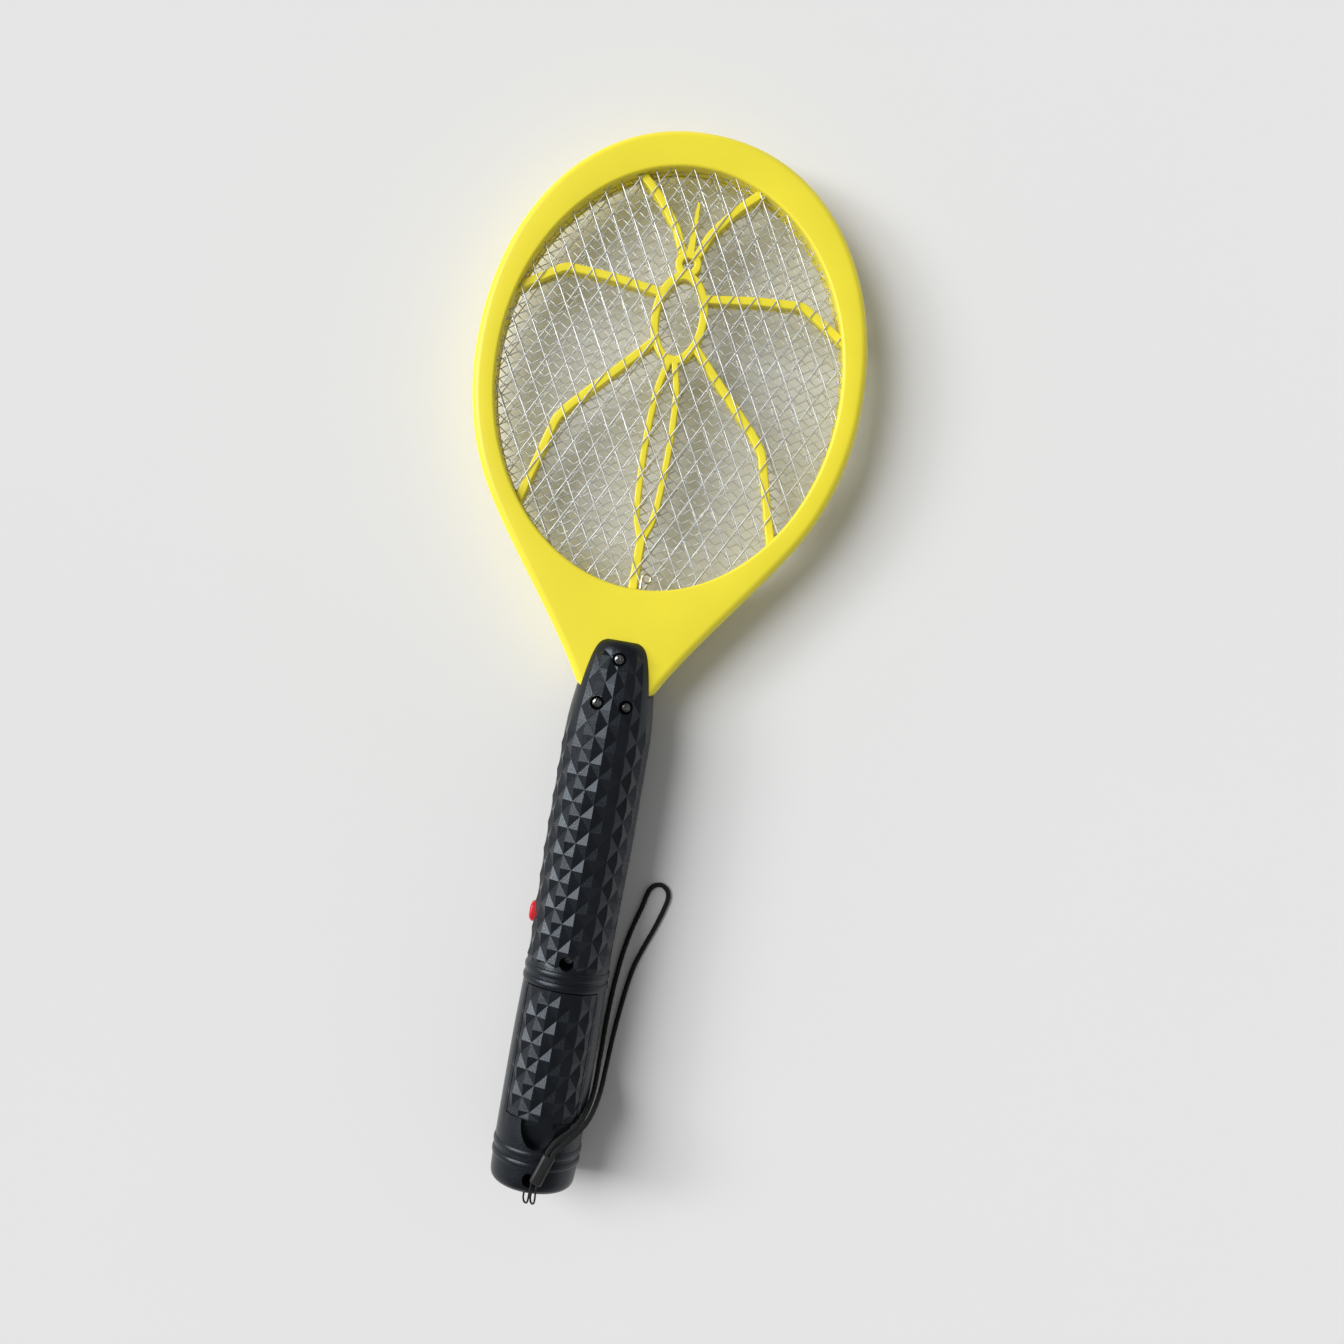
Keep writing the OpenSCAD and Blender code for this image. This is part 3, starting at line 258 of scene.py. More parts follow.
FABRIC = material("strap_fabric", (0.010, 0.011, 0.010), 0.80, specular=0.3, mottle=0.25, patch=600,
                  grain=6000, bump=0.5, sheen=0.08)
RUBBER = material("sleeve_rubber", (0.012, 0.0125, 0.013), 0.40, specular=0.4, mottle=0.12, patch=300,
                  grain=2500, bump=0.1)


# Mesh making

MERGE_M, SLIVER_M = 1e-7, 1e-8


def build(name, verts, faces):
    """A closed mesh object from points in millimetres, with its faces turned outwards."""
    mesh = bpy.data.meshes.new(name)
    mesh.from_pydata([place(v) for v in verts], [], faces)
    work = bmesh.new()
    work.from_mesh(mesh)
    bmesh.ops.remove_doubles(work, verts=work.verts, dist=MERGE_M)
    bmesh.ops.dissolve_degenerate(work, edges=work.edges, dist=SLIVER_M)
    bmesh.ops.recalc_face_normals(work, faces=work.faces)
    work.to_mesh(mesh)
    work.free()
    obj = bpy.data.objects.new(name, mesh)
    bpy.context.collection.objects.link(obj)
    return obj


def combine(target, tools, operation="DIFFERENCE"):
    """Cuts tools from the target, or joins or crosses them with it, and removes them."""
    for tool in tools:
        step = target.modifiers.new("step", "BOOLEAN")
        step.operation = operation
        step.solver = "MANIFOLD"
        step.object = tool
        view = bpy.context.evaluated_depsgraph_get()
        made = bpy.data.meshes.new_from_object(target.evaluated_get(view))
        target.modifiers.clear()
        before = target.data
        target.data = made
        bpy.data.meshes.remove(before)
        bpy.data.objects.remove(tool)
    return target


def dress(obj, mat, nodes=(), body="swatter", sharp=30):
    """Gives a made piece its finish and its body, and hides the CAD nodes it stands for."""
    obj.data.materials.clear()
    obj.data.materials.append(mat)
    obj.data.polygons.foreach_set("use_smooth", [True] * len(obj.data.polygons))
    obj.data.set_sharp_from_angle(angle=math.radians(sharp))
    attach(obj, body)
    if nodes:
        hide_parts(*nodes)
    return obj


def skin(rings, wrap=False):
    """Quads over rings of matching points, each closed on itself.

    wrap joins the last ring to the first, and otherwise the end rings get faces.
    """
    n, m = len(rings[0]), len(rings)
    verts = [p for ring in rings for p in ring]
    faces = []
    for k in range(m if wrap else m - 1):
        a, b = k * n, ((k + 1) % m) * n
        faces += [(a + i, a + (i + 1) % n, b + (i + 1) % n, b + i) for i in range(n)]
    if not wrap:
        faces += [tuple(range(n)), tuple(range((m - 1) * n, m * n))]
    return verts, faces


def prism(name, loop, z0, z1):
    """A flat loop raised from z0 to z1."""
    return build(name, *skin([[(x, y, z) for x, y in loop] for z in (z0, z1)]))


def block(x0, x1, y0, y1, z0, z1):
    return prism("block", [(x0, y0), (x1, y0), (x1, y1), (x0, y1)], z0, z1)


def ellipse(rx, ry, cy, count, cx=0.0):
    """Points of an oval round (cx, cy)."""
    turns = [2 * math.pi * i / count for i in range(count)]
    return [(cx + rx * math.cos(t), cy + ry * math.sin(t)) for t in turns]


def post(x, y, d, z0, z1, count=48):
    return prism("post", ellipse(d / 2, d / 2, y, count, x), z0, z1)


def smooth_path(points, steps):
    """A line through all the points, as a Catmull-Rom curve."""
    p = [Vector(q) for q in points]
    p = [2 * p[0] - p[1]] + p + [2 * p[-1] - p[-2]]
    line = []
    for a, b, c, d in zip(p, p[1:], p[2:], p[3:]):
        for s in range(steps):
            t = s / steps
            line.append(0.5 * (2 * b + (c - a) * t + (2 * a - 5 * b + 4 * c - d) * t ** 2
                               + (3 * b - a - 3 * c + d) * t ** 3))
    return line + [p[-2]]


def sweep(line, section):
    """Rings of a section along a line. section(s) gives (side, up) pairs at a distance s along the line."""
    rings, up, s = [], Vector((0, 0, 1)), 0.0
    for i, point in enumerate(line):
        along = (line[min(i + 1, len(line) - 1)] - line[max(i - 1, 0)]).normalized()
        up = (up - along * up.dot(along)).normalized()
        side = along.cross(up)
        if i:
            s += (point - line[i - 1]).length
        rings.append([tuple(point + side * u + up * v) for u, v in section(s)])
    return rings


# Wrist strap

SLEEVE_AT = (2.8, 7.0)
SLEEVE_TURN = math.radians(-18)
SLEEVE_Z = 21.4
SLEEVE_LEN, SLEEVE_W, SLEEVE_H = 14.0, 5.8, 3.2
BORE_X, BORE_R = 1.25, 1.2
SLOT_LEN, SLOT_HH = 6.5, 0.6


def bore_point(side, s):
    """A point on the axis of one of the sleeve's two bores."""
    c, d = math.cos(SLEEVE_TURN), math.sin(SLEEVE_TURN)
    return (SLEEVE_AT[0] + side * BORE_X * c - s * d, SLEEVE_AT[1] + side * BORE_X * d + s * c, SLEEVE_Z)


STRING_ROUTE = [
    (-HOLE_X, 0, HOLE_Z), (-1.6, -1.5, 13.5), (-1.4, -2.7, 14.6), (-0.85, -3.3, 16.1), (-0.1, -3.3, 17.6),
    (0.6, -2.6, 18.9), (0.95, -1.3, 19.9), (1.05, 0.5, 20.6), (1.15, 3.4, 21.2),
    bore_point(-1, -1), bore_point(-1.3, 1.4), bore_point(-1.5, 3.4), bore_point(-1.2, 4.8),
    bore_point(-0.45, 5.6), bore_point(0.45, 5.6),
    bore_point(1.2, 4.8), bore_point(1.5, 3.4), bore_point(1.3, 1.4), bore_point(1, -1),
    (3.8, 3, 21.2), (3.9, 0.5, 20.6), (3.85, -1.3, 19.9), (3.5, -2.6, 18.9),
    (2.9, -3.3, 17.6), (2.25, -3.3, 16.1), (1.75, -2.7, 14.6), (1.6, -1.5, 13.5), (HOLE_X, 0, HOLE_Z),
]

CORD_ROUTE = [
    bore_point(-1, SLEEVE_LEN - 4), bore_point(-1, SLEEVE_LEN), bore_point(-1, SLEEVE_LEN + 2),
    (8.4, 25.6, 20.4), (11.4, 28.2, 18.4), (14.6, 30.2, 15.2), (17.6, 33.4, 11.4),
    (19.8, 37.6, 6.4), (21, 42, 0.6), (21.4, 46.6, -5.2),
    (21.4, 51.8, -10.4), (21.4, 58, -14.8), (21.4, 65, -17.4),
    (21.5, 73, CORD_LIES), (21.8, 82, CORD_LIES), (22.4, 92, CORD_LIES),
    (23.4, 102, CORD_LIES), (24.8, 111, CORD_LIES),
    (26.6, 119, CORD_LIES), (28.8, 127, CORD_LIES), (30.2, 133.4, CORD_LIES),
    (32, 137.2, CORD_LIES), (35.4, 138.8, CORD_LIES),
    (38.8, 137.2, CORD_LIES), (40.2, 133.4, CORD_LIES), (38.8, 126.4, CORD_LIES),
    (36, 117.4, CORD_LIES), (32.6, 108, CORD_LIES),
    (29.8, 99, CORD_LIES), (28.2, 90, CORD_LIES), (27, 80, CORD_LIES),
    (26.2, 71.4, CORD_LIES), (25.6, 64, -17.6), (25.2, 57.4, -15.2),
    (24.9, 51.6, -11.4), (24.6, 46.6, -6.2), (24, 42.2, -0.4), (22.8, 37.8, 5.2), (20.8, 33.6, 9.8),
    (18, 30.2, 13.8), (15, 27.4, 17), (12, 24.8, 19.6),
    bore_point(1, SLEEVE_LEN + 2), bore_point(1, SLEEVE_LEN), bore_point(1, SLEEVE_LEN - 4),
]


def braided(line, diameter, strands, pitch, relief, sides):
    """A cord with raised strands that wind both ways round it."""
    def section(s):
        points = []
        for k in range(sides):
            t = 2 * math.pi * k / sides
            turn = 2 * math.pi * s / pitch
            lift = max(math.cos(strands * t + turn), math.cos(strands * t - turn))
            r = diameter / 2 * (1 - relief * (1 - lift) / 2)
            points.append((r * math.cos(t), r * math.sin(t)))
        return points
    return skin(sweep(line, section))


def even_steps(line, step):
    """The same line with points at even distances."""
    made, left = [line[0]], step
    for a, b in zip(line, line[1:]):
        gap = (b - a).length
        while left <= gap:
            made.append(a.lerp(b, left / gap))
            left += step
        left -= gap
    return made + [line[-1]]


def make_sleeve():
    """Soft tube with two bores, rounded over at its ends."""
    half = (SLEEVE_W - SLEEVE_H) / 2
    rings = []
    stations = [(0, -0.75), (0.15, -0.4), (0.5, -0.12), (1.0, 0), (4.5, -0.08), (9.5, -0.08)]
    stations += [(SLEEVE_LEN - s, d) for s, d in stations[3::-1]]
    for s, grow in stations:
        r = SLEEVE_H / 2 + grow
        loop = []
        for k in range(48):
            t = 2 * math.pi * k / 48
            loop.append((math.copysign(half, math.cos(t)) + r * math.cos(t), r * math.sin(t)))
        base = Vector(bore_point(0, s))
        across = Vector((math.cos(SLEEVE_TURN), math.sin(SLEEVE_TURN), 0))
        rings.append([tuple(base + across * u + Vector((0, 0, v))) for u, v in loop])
    sleeve = build("strap_sleeve_soft", *skin(rings))
    bores = []
    for side in (-1, 1):
        line = [Vector(bore_point(side, s)) for s in (-1, 8, SLEEVE_LEN + 1)]
        circle = ellipse(BORE_R, BORE_R, 0, 24)
        bores.append(build("bore", *skin(sweep(line, lambda s: circle))))
    slot = [bore_point(-1, -1), bore_point(1, -1), bore_point(1, SLOT_LEN), bore_point(-1, SLOT_LEN)]
    bores.append(prism("slot", [p[:2] for p in slot], SLEEVE_Z - SLOT_HH, SLEEVE_Z + SLOT_HH))
    return dress(combine(sleeve, bores), RUBBER, ["strap_sleeve"], sharp=40)


def make_strap():
    sleeve = make_sleeve()
    line = even_steps(smooth_path(STRING_ROUTE, 10), 0.2)
    twist = braided(line, STRING_D, strands=3, pitch=2.4, relief=0.16, sides=18)
    string = build("strap_string_twisted", *twist)
    dress(string, FABRIC, ["strap_string"], sharp=70)
    line = even_steps(smooth_path(CORD_ROUTE, 10), 0.3)
    braid = braided(line, CORD_D, strands=5, pitch=3.6, relief=0.13, sides=30)
    cord = build("strap_cord_braided", *braid)
    dress(cord, FABRIC, ["strap_cord"], sharp=70)


make_strap()


# Head frames

def unit2(v):
    size = math.hypot(*v)
    return (v[0] / size, v[1] / size)


def bezier(a, b, c, d, t):
    """A point of a cubic curve."""
    s = 1 - t
    weights = (s ** 3, 3 * s * s * t, 3 * s * t * t, t ** 3)
    return tuple(sum(w * v for w, v in zip(weights, axis)) for axis in zip(a, b, c, d))


def monotone(y, knots):
    """A smooth curve through (y, value) knots that doesn't overshoot them."""
    ys = [k[0] for k in knots]
    vs = [k[1] for k in knots]
    y = min(max(y, ys[0]), ys[-1])
    i = max(k for k in range(len(ys) - 1) if ys[k] <= y)
    slopes = [(vs[k + 1] - vs[k]) / (ys[k + 1] - ys[k]) for k in range(len(ys) - 1)]

    def tangent(k):
        if k == 0 or k == len(ys) - 1:
            return slopes[0] if k == 0 else slopes[-1]
        a, b = slopes[k - 1], slopes[k]
        return 0.0 if a * b <= 0 else 2 * a * b / (a + b)

    h = ys[i + 1] - ys[i]
    t = (y - ys[i]) / h
    return ((1 + 2 * t) * (1 - t) ** 2 * vs[i] + t * (1 - t) ** 2 * h * tangent(i)
            + t * t * (3 - 2 * t) * vs[i + 1] - t * t * (1 - t) * h * tangent(i + 1))


# What the grip's half width and half height gain on GRIP_HW and GRIP_HH, by distance from the butt
W_KNOTS = [
    (0, -3.7), (0.8, -1.9), (2.5, -0.7), (5, -0.3), (26, 0.1), (62, 0), (104, -0.7), (126, -0.4), (160, 0.3),
    (206, 0.3), (212, -0.2), (222, -1.4), (233, -2.9), (240, -4.3), (244.5, -5.7), (247, -7.3), (248, -8.7),
]
H_KNOTS = [
    (0, -3.8), (0.8, -2), (2.5, -0.7), (5, -0.2), (26, 0), (190, 0), (215, -1.4), (235, -3.6), (241, -4.6),
    (245, -5.8), (247, -7.1), (248, -8.6),
]


@functools.cache
def half_w(y):
    return GRIP_HW + monotone(y, W_KNOTS)


@functools.cache
def half_h(y):
    return GRIP_HH + monotone(y, H_KNOTS)


def head_outline():
    """The head, throat and tang seen from the front, clockwise from the tip."""
    right = []
    for k in range(49):
        t = math.radians(90 - 90 * k / 48)
        x = HEAD_RX * max(math.cos(t), 0) ** (2 / HEAD_POWER)
        right.append((x, HEAD_CY + HEAD_RY * math.sin(t) ** (2 / HEAD_POWER)))
    for k in range(1, 20):
        t = THROAT_ANGLE * k / 20
        right.append((HEAD_RX * math.cos(t), HEAD_CY + HEAD_RY * math.sin(t)))
    c, s = math.cos(THROAT_ANGLE), math.sin(THROAT_ANGLE)
    p0 = (HEAD_RX * c, HEAD_CY + HEAD_RY * s)
    p1 = (p0[0] + THROAT_PULL * HEAD_RX * s / HEAD_RY / c * 1.02, p0[1] - THROAT_PULL)
    p3 = (half_w(THROAT_END_Y) + 0.6, THROAT_END_Y)
    p2 = (p3[0] + THROAT_PULL * 0.55, p3[1] + THROAT_PULL)
    right += [bezier(p0, p1, p2, p3, k / 24) for k in range(25)]
    right += [(TANG_HW, TANG_Y1)] + [(TANG_HW * (1 - k / 3), TANG_Y0) for k in range(3)]
    return right + [(-x, y) for x, y in right[:0:-1]]


OUTLINE = head_outline()


def inset(loop, d):
    """A clockwise loop moved inwards by d."""
    moved = []
    for i, p in enumerate(loop):
        a, b = loop[i - 1], loop[(i + 1) % len(loop)]
        t = unit2((b[0] - a[0], b[1] - a[1]))
        moved.append((p[0] + d * t[1], p[1] - d * t[0]))
    return moved


def oval_ring(d):
    """The opening's oval, grown by d, with a point in line with each point of the outline."""
    ring = []
    for x, y in OUTLINE:
        v = (x, y - OPEN_CY)
        size = math.hypot(v[0] / (OPEN_RX + d), v[1] / (OPEN_RY + d))
        ring.append((v[0] / size, OPEN_CY + v[1] / size))
    return ring


def head_layers():
    """Height and loop of each layer round the section of a front half."""
    layers = [(0, inset(OUTLINE, JOINT_EDGE)), (JOINT_EDGE, OUTLINE)]
    layers.append((HEAD_H - HEAD_ROUND, inset(OUTLINE, HEAD_DRAFT)))
    for k in range(1, 10):
        t = math.radians(90 * k / 9)
        height = HEAD_H - HEAD_ROUND * (1 - math.sin(t))
        layers.append((height, inset(OUTLINE, HEAD_DRAFT + HEAD_ROUND * (1 - math.cos(t)))))
    for k in range(6):
        t = math.radians(90 * k / 5)
        layers.append((HEAD_H - LIP_ROUND * (1 - math.cos(t)), oval_ring(LIP_ROUND * (1 - math.sin(t)))))
    seat = oval_ring(REBATE + SEAT_GAP)
    return layers + [(LIP_Z, oval_ring(0)), (LIP_Z, seat), (0, seat)]


def make_frames():
    layers = head_layers()
    for name, turn in (("front_frame", 1), ("rear_frame", -1)):
        rings = [[(x, y, turn * z) for x, y in loop] for z, loop in layers]
        rim = build(name + "_moulding", *skin(rings, wrap=True))
        holes = [post(x, y, SCREW_HOLE_D, -HEAD_H - 1, HEAD_H + 1) for x, y, seat in SCREWS[:3]]
        dress(combine(rim, holes), YELLOW, [name], sharp=28)


make_frames()


# Spacers: rim, oval, ring and ribs in the opening

def in_oval(p, grow):
    """Under 1 for a point inside the opening's oval, grown by grow."""
    return math.hypot(p[0] / (OPEN_RX + grow), (p[1] - OPEN_CY) / (OPEN_RY + grow))


def trimmed(points):
    """Ends the last stretch of a rib inside the spacer's rim."""
    a, b = Vector(points[-2]), Vector(points[-1])
    low, high = 0.0, 1.0
    for _ in range(30):
        mid = (low + high) / 2
        if in_oval(a.lerp(b, mid), 2.0) < 1:
            low = mid
        else:
            high = mid
    return points[:-1] + [tuple(a.lerp(b, low))]


def rounded_bends(points, reach=3.0, steps=6):
    """A polyline with its bends eased."""
    p = [Vector(q) for q in points]
    line = [p[0]]
    for a, b, c in zip(p, p[1:], p[2:]):
        r = min(reach, (b - a).length * 0.45, (c - b).length * 0.45)
        q, s = b + (a - b).normalized() * r, b + (c - b).normalized() * r
        for k in range(steps + 1):
            t = k / steps
            line.append(q * (1 - t) ** 2 + b * 2 * t * (1 - t) + s * t * t)
    return line + [p[-1]]


def rib_section(w):
    """A rib's section: flat below, rounded above."""
    h = SPACER_Z1 - SPACER_Z0
    r = min(w / 2, h) * 0.38
    arc = [math.radians(90 * k / 6) for k in range(7)]
    top = [(w / 2 - r + r * math.cos(t), h - r + r * math.sin(t)) for t in arc]
    right = [(w / 2 - 0.3, 0), (w / 2, 0.4)] + top
    return right + [(-u, v) for u, v in right[::-1]]


def rib(points, w, turn, closed=False):
    """One rib along a flat line. turn is -1 for the rear spacer."""
    line = [Vector((x, y, 0)) for x, y in points]
    section = rib_section(w)
    if closed:
        rings, n = [], len(line)
        for i, p in enumerate(line):
            along = (line[(i + 1) % n] - line[i - 1]).normalized()
            side = Vector((along.y, -along.x, 0))
            rings.append([(p.x + side.x * u, p.y + side.y * u, turn * (SPACER_Z0 + v)) for u, v in section])
        return build("rib", *skin(rings, wrap=True))
    rings = sweep(line, lambda s: section)
    return build("rib", *skin([[(x, y, turn * (SPACER_Z0 + z)) for x, y, z in ring] for ring in rings]))


def rib_paths():
    """Lines of the ribs, with their widths."""
    spread_ribs = [
        [(3.4, RING_CY + 4.4), (7.8, OVAL_CY + 39.5), (17.5, OVAL_CY + 52.3), (31.5, OVAL_CY + 65.5)],
        [(8.9, OVAL_CY + 10), (33, OVAL_CY + 13.2), (54.3, OVAL_CY + 14.5), (76, OVAL_CY + 0.6)],
        [(7.9, OVAL_CY - 10.5), (42.2, OVAL_CY - 47.2), (47.2, OVAL_CY - 54), (59, OVAL_CY - 97.8)],
    ]
    bowed = [(1.2, -19.3), (4.4, -34), (5.4, -52), (5.3, -69), (4, -90), (0.4, -102)]
    bowed = [p.to_2d() for p in smooth_path([(x, OVAL_CY + y, 0) for x, y in bowed], 6)]
    paths = [(rounded_bends(trimmed(points)), RIB_W) for points in spread_ribs] + [(bowed, RIB_W * 0.75)]
    left = [([(-p[0], p[1]) for p in line], w) for line, w in paths]
    stem = [(0, OVAL_CY - 100.5), (0, OPEN_CY - OPEN_RY - 1.5)]
    return paths + left + [(stem, RIB_W * 1.1)]


def make_spacers():
    for name, turn in (("front_spacer", 1), ("rear_spacer", -1)):
        inner = ellipse(OPEN_RX + 0.3, OPEN_RY + 0.3, OPEN_CY, 160)
        outer = ellipse(OPEN_RX + REBATE - 0.15, OPEN_RY + REBATE - 0.15, OPEN_CY, 160)
        z0, z1 = turn * SPACER_Z0, turn * SPACER_Z1
        edges = ((inner, z0), (outer, z0), (outer, z1), (inner, z1))
        rings = [[(x, y, z) for x, y in loop] for loop, z in edges]
        spacer = build(name + "_moulding", *skin(rings, wrap=True))
        parts = [rib(line, w, turn) for line, w in rib_paths()]
        parts.append(rib(ellipse(OVAL_RX, OVAL_RY, OVAL_CY, 72), RIB_W, turn, closed=True))
        parts.append(rib(ellipse(RING_R, RING_R, RING_CY, 40), RIB_W - 0.5, turn, closed=True))
        spike = [(-1.6, SPIKE_Y0), (1.6, SPIKE_Y0), (0.6, SPIKE_Y1), (-0.6, SPIKE_Y1)]
        parts.append(prism("spike", spike, z0, z1))
        dress(combine(spacer, parts, "UNION"), YELLOW, [name], sharp=32)


make_spacers()


# Nets: flat strands woven over and under each other

def woven(pitch, angle, width, thick, z_mid, steps, sides):
    """Verts and faces of all strands of a net. angle is from the swatter's axis."""
    verts, faces = [], []
    normals = [(math.cos(angle), -math.sin(angle)), (math.cos(angle), math.sin(angle))]
    grow = REBATE - 0.6
    rx, ry = OPEN_RX + grow, OPEN_RY + grow
    section = ellipse(width / 2, thick / 2, 0, sides)
    for family, sign in ((0, 1), (1, -1)):
        n, other = normals[family], normals[1 - family]
        d = (-n[1], n[0])
        both, slip = n[0] * other[0] + n[1] * other[1], d[0] * other[0] + d[1] * other[1]
        reach = math.hypot(rx * n[0], ry * n[1])
        last = int(reach / pitch)
        for k in range(-last, last + 1):
            # Where the strand's line crosses the oval
            a = (d[0] / rx) ** 2 + (d[1] / ry) ** 2
            b = 2 * k * pitch * (n[0] * d[0] / rx ** 2 + n[1] * d[1] / ry ** 2)
            c = (k * pitch) ** 2 * ((n[0] / rx) ** 2 + (n[1] / ry) ** 2) - 1
            if b * b - 4 * a * c <= 0:
                continue
            root = math.sqrt(b * b - 4 * a * c)
            t0, t1 = (-b - root) / (2 * a), (-b + root) / (2 * a)
            count = max(3, int((t1 - t0) / (pitch / abs(slip)) * steps))
            line = []
            for i in range(count + 1):
                t = t0 + (t1 - t0) * i / count
                m = t * slip / pitch + k * both
                z = z_mid + sign * NET_LIFT * math.cos(math.pi * (m + k))
                line.append(Vector((k * pitch * n[0] + t * d[0], OPEN_CY + k * pitch * n[1] + t * d[1], z)))
            v, f = skin(sweep(line, lambda s: section))
            faces += [tuple(i + len(verts) for i in face) for face in f]
            verts += v
    return verts, faces


def make_nets():
    for name, z in (("front_net", NET_Z), ("rear_net", -NET_Z)):
        strands = woven(NET_PITCH, NET_ANGLE, width=0.54, thick=0.36, z_mid=z, steps=6, sides=8)
        dress(build(name + "_woven", *strands), NET, [name], sharp=60)
    strands = woven(MID_PITCH, MID_ANGLE, width=0.5, thick=0.34, z_mid=0.0, steps=4, sides=6)
    dress(build("middle_net_woven", *strands), NET, ["middle_net"], sharp=60)


make_nets()


# Grip

def ridge_rows(y):
    """Rows of the skin over one ridge."""
    return [(y + d, 0) for d in (-RIDGE_HW, -0.9, 0, 0.9, RIDGE_HW)]


# Rows along the grip: distance from the butt, and how many columns either side of the crown carry diamonds
SKIN_ROWS = (
    [(y, 0) for y in (0, 0.8, 2.5, 5)]
    + ridge_rows(RIDGES[0]) + ridge_rows(RIDGES[1]) + [(25.15, 0), (33, 0)]
    + [(COVER_Y0 + 3.6 + DIAMOND_PY * j, 3) for j in range(9)] + [(COVER_Y1 - 1.6, 0)]
    + ridge_rows(RIDGES[2]) + ridge_rows(RIDGES[3]) + [(100.8, 0)]
    + [(y, 2 if y > NARROW_Y else 5) for y in DIAMOND_YS]
    + [(GRIP_LEN - d, 0) for d in (5, 3, 1, 0)]
)
# Steps across and along each cell of the lattice
FINE = 4


def ridge_up(y):
    """Height of the round ridges at a distance from the butt."""
    near = min(abs(y - r) for r in RIDGES)
    return RIDGE_H * math.sqrt(1 - (near / RIDGE_HW) ** 2) if near < RIDGE_HW else 0.0


def relief(i, r):
    """Height of a lattice point over the round skin: a diamond's point, a valley or nothing."""
    span = SKIN_ROWS[r][1]
    if span == 0 or abs(i - COLUMNS // 2) > span:
        return 0.0
    return DIAMOND_HI if (i + r) % 2 == 0 else -DIAMOND_LO


def skin_point(i, y, up):
    """A point of the round skin, raised by up, at column i from the right side to the left."""
    t = math.pi * i / COLUMNS
    z = 0.0 if i in (0, COLUMNS) else (half_h(y) + up) * math.sin(t)
    return Vector(((half_w(y) + up) * math.cos(t), y, z))


@functools.cache
def corner(i, r):
    """A corner of the lattice, at column i and row r."""
    return skin_point(i, SKIN_ROWS[r][0], relief(i, r) + ridge_up(SKIN_ROWS[r][0]))


@functools.cache
def is_faceted(i, r):
    """Whether the lattice cell at column i and row r carries facets of diamonds."""
    if not (0 <= i < COLUMNS and 0 <= r < len(SKIN_ROWS) - 1):
        return False
    return any(relief(a, b) for a in (i, i + 1) for b in (r, r + 1))


def cell_point(i, r, u, v):
    """A point of lattice cell (i, r): on a flat facet, or on round skin joined to the facets beside it."""
    c00, c10, c01, c11 = corner(i, r), corner(i + 1, r), corner(i, r + 1), corner(i + 1, r + 1)
    if is_faceted(i, r):
        if (i + r) % 2 == 0:
            if u + v <= 1:
                return c00 + (c10 - c00) * u + (c01 - c00) * v
            return c11 + (c01 - c11) * (1 - u) + (c10 - c11) * (1 - v)
        if u >= v:
            return c00 + (c10 - c00) * u + (c11 - c10) * v
        return c00 + (c01 - c00) * v + (c11 - c01) * u
    y0, y1 = SKIN_ROWS[r][0], SKIN_ROWS[r + 1][0]

    def round_skin(a, b):
        y = y0 + (y1 - y0) * b
        return skin_point(i + a, y, ridge_up(y))

    p = round_skin(u, v)
    if is_faceted(i, r - 1):
        p = p + (c00.lerp(c10, u) - round_skin(u, 0)) * (1 - v)
    if is_faceted(i, r + 1):
        p = p + (c01.lerp(c11, u) - round_skin(u, 1)) * v
    if is_faceted(i - 1, r):
        p = p + (c00.lerp(c01, v) - round_skin(0, v)) * (1 - u)
    if is_faceted(i + 1, r):
        p = p + (c10.lerp(c11, v) - round_skin(1, v)) * u
    return p


def half_grip(name):
    """The closed upper half of the grip's outside, with its diamonds and ridges."""
    across, along = COLUMNS * FINE, (len(SKIN_ROWS) - 1) * FINE
    verts, faces = [], []
    for b in range(along + 1):
        r = min(b // FINE, len(SKIN_ROWS) - 2)
        for a in range(across + 1):
            i = min(a // FINE, COLUMNS - 1)
            p = cell_point(i, r, a / FINE - i, b / FINE - r)
            if a in (0, across):
                # Fine groove along the joint of the two halves
                p.x -= math.copysign(JOINT_GROOVE, p.x)
            verts.append(tuple(p))
    n = across + 1
    for b in range(along):
        for a in range(across):
            i, r = a // FINE, b // FINE
            q = b * n + a
            if not is_faceted(i, r):
                faces.append((q, q + 1, q + n + 1, q + n))
            elif (i + r) % 2 == 0:
                faces += [(q, q + 1, q + n), (q + 1, q + n + 1, q + n)]
            else:
                faces += [(q, q + 1, q + n + 1), (q, q + n + 1, q + n)]
        faces.append((b * n, (b + 1) * n, (b + 1) * n + across, b * n + across))
    faces += [tuple(range(n)), tuple(range(along * n, along * n + n))]
    return build(name, verts, faces)


def half_cavity(name, wall):
    """The hollow of half the grip, at a wall's depth below the skin."""
    middle = [5, 15, 26, 44, 62, 83, 104, 126, 160, 190, 206, 212, 222, 233, 240]
    turns = [math.pi * k / 48 for k in range(49)]
    rings = []
    for y in [WALL + 0.3] + middle + [GRIP_LEN - WALL - 1.5]:
        rings.append([((half_w(y) - wall) * math.cos(t), y, (half_h(y) - wall) * math.sin(t)) for t in turns])
    return build(name, *skin(rings))


def mirrored(obj):
    """Turns a piece of the front half into one of the rear half."""
    up, down = Matrix.Translation((0, 0, JOINT_Z)), Matrix.Translation((0, 0, -JOINT_Z))
    obj.data.transform(up @ Matrix.Scale(-1, 4, (0, 0, 1)) @ down)
    obj.data.flip_normals()
    return obj


def stadium(length, width, count=48):
    """A slot shape with round ends."""
    half = (length - width) / 2
    loop = []
    for k in range(count):
        t = 2 * math.pi * (k + 0.5) / count
        loop.append((math.copysign(half, math.cos(t)) + width / 2 * math.cos(t), width / 2 * math.sin(t)))
    return loop


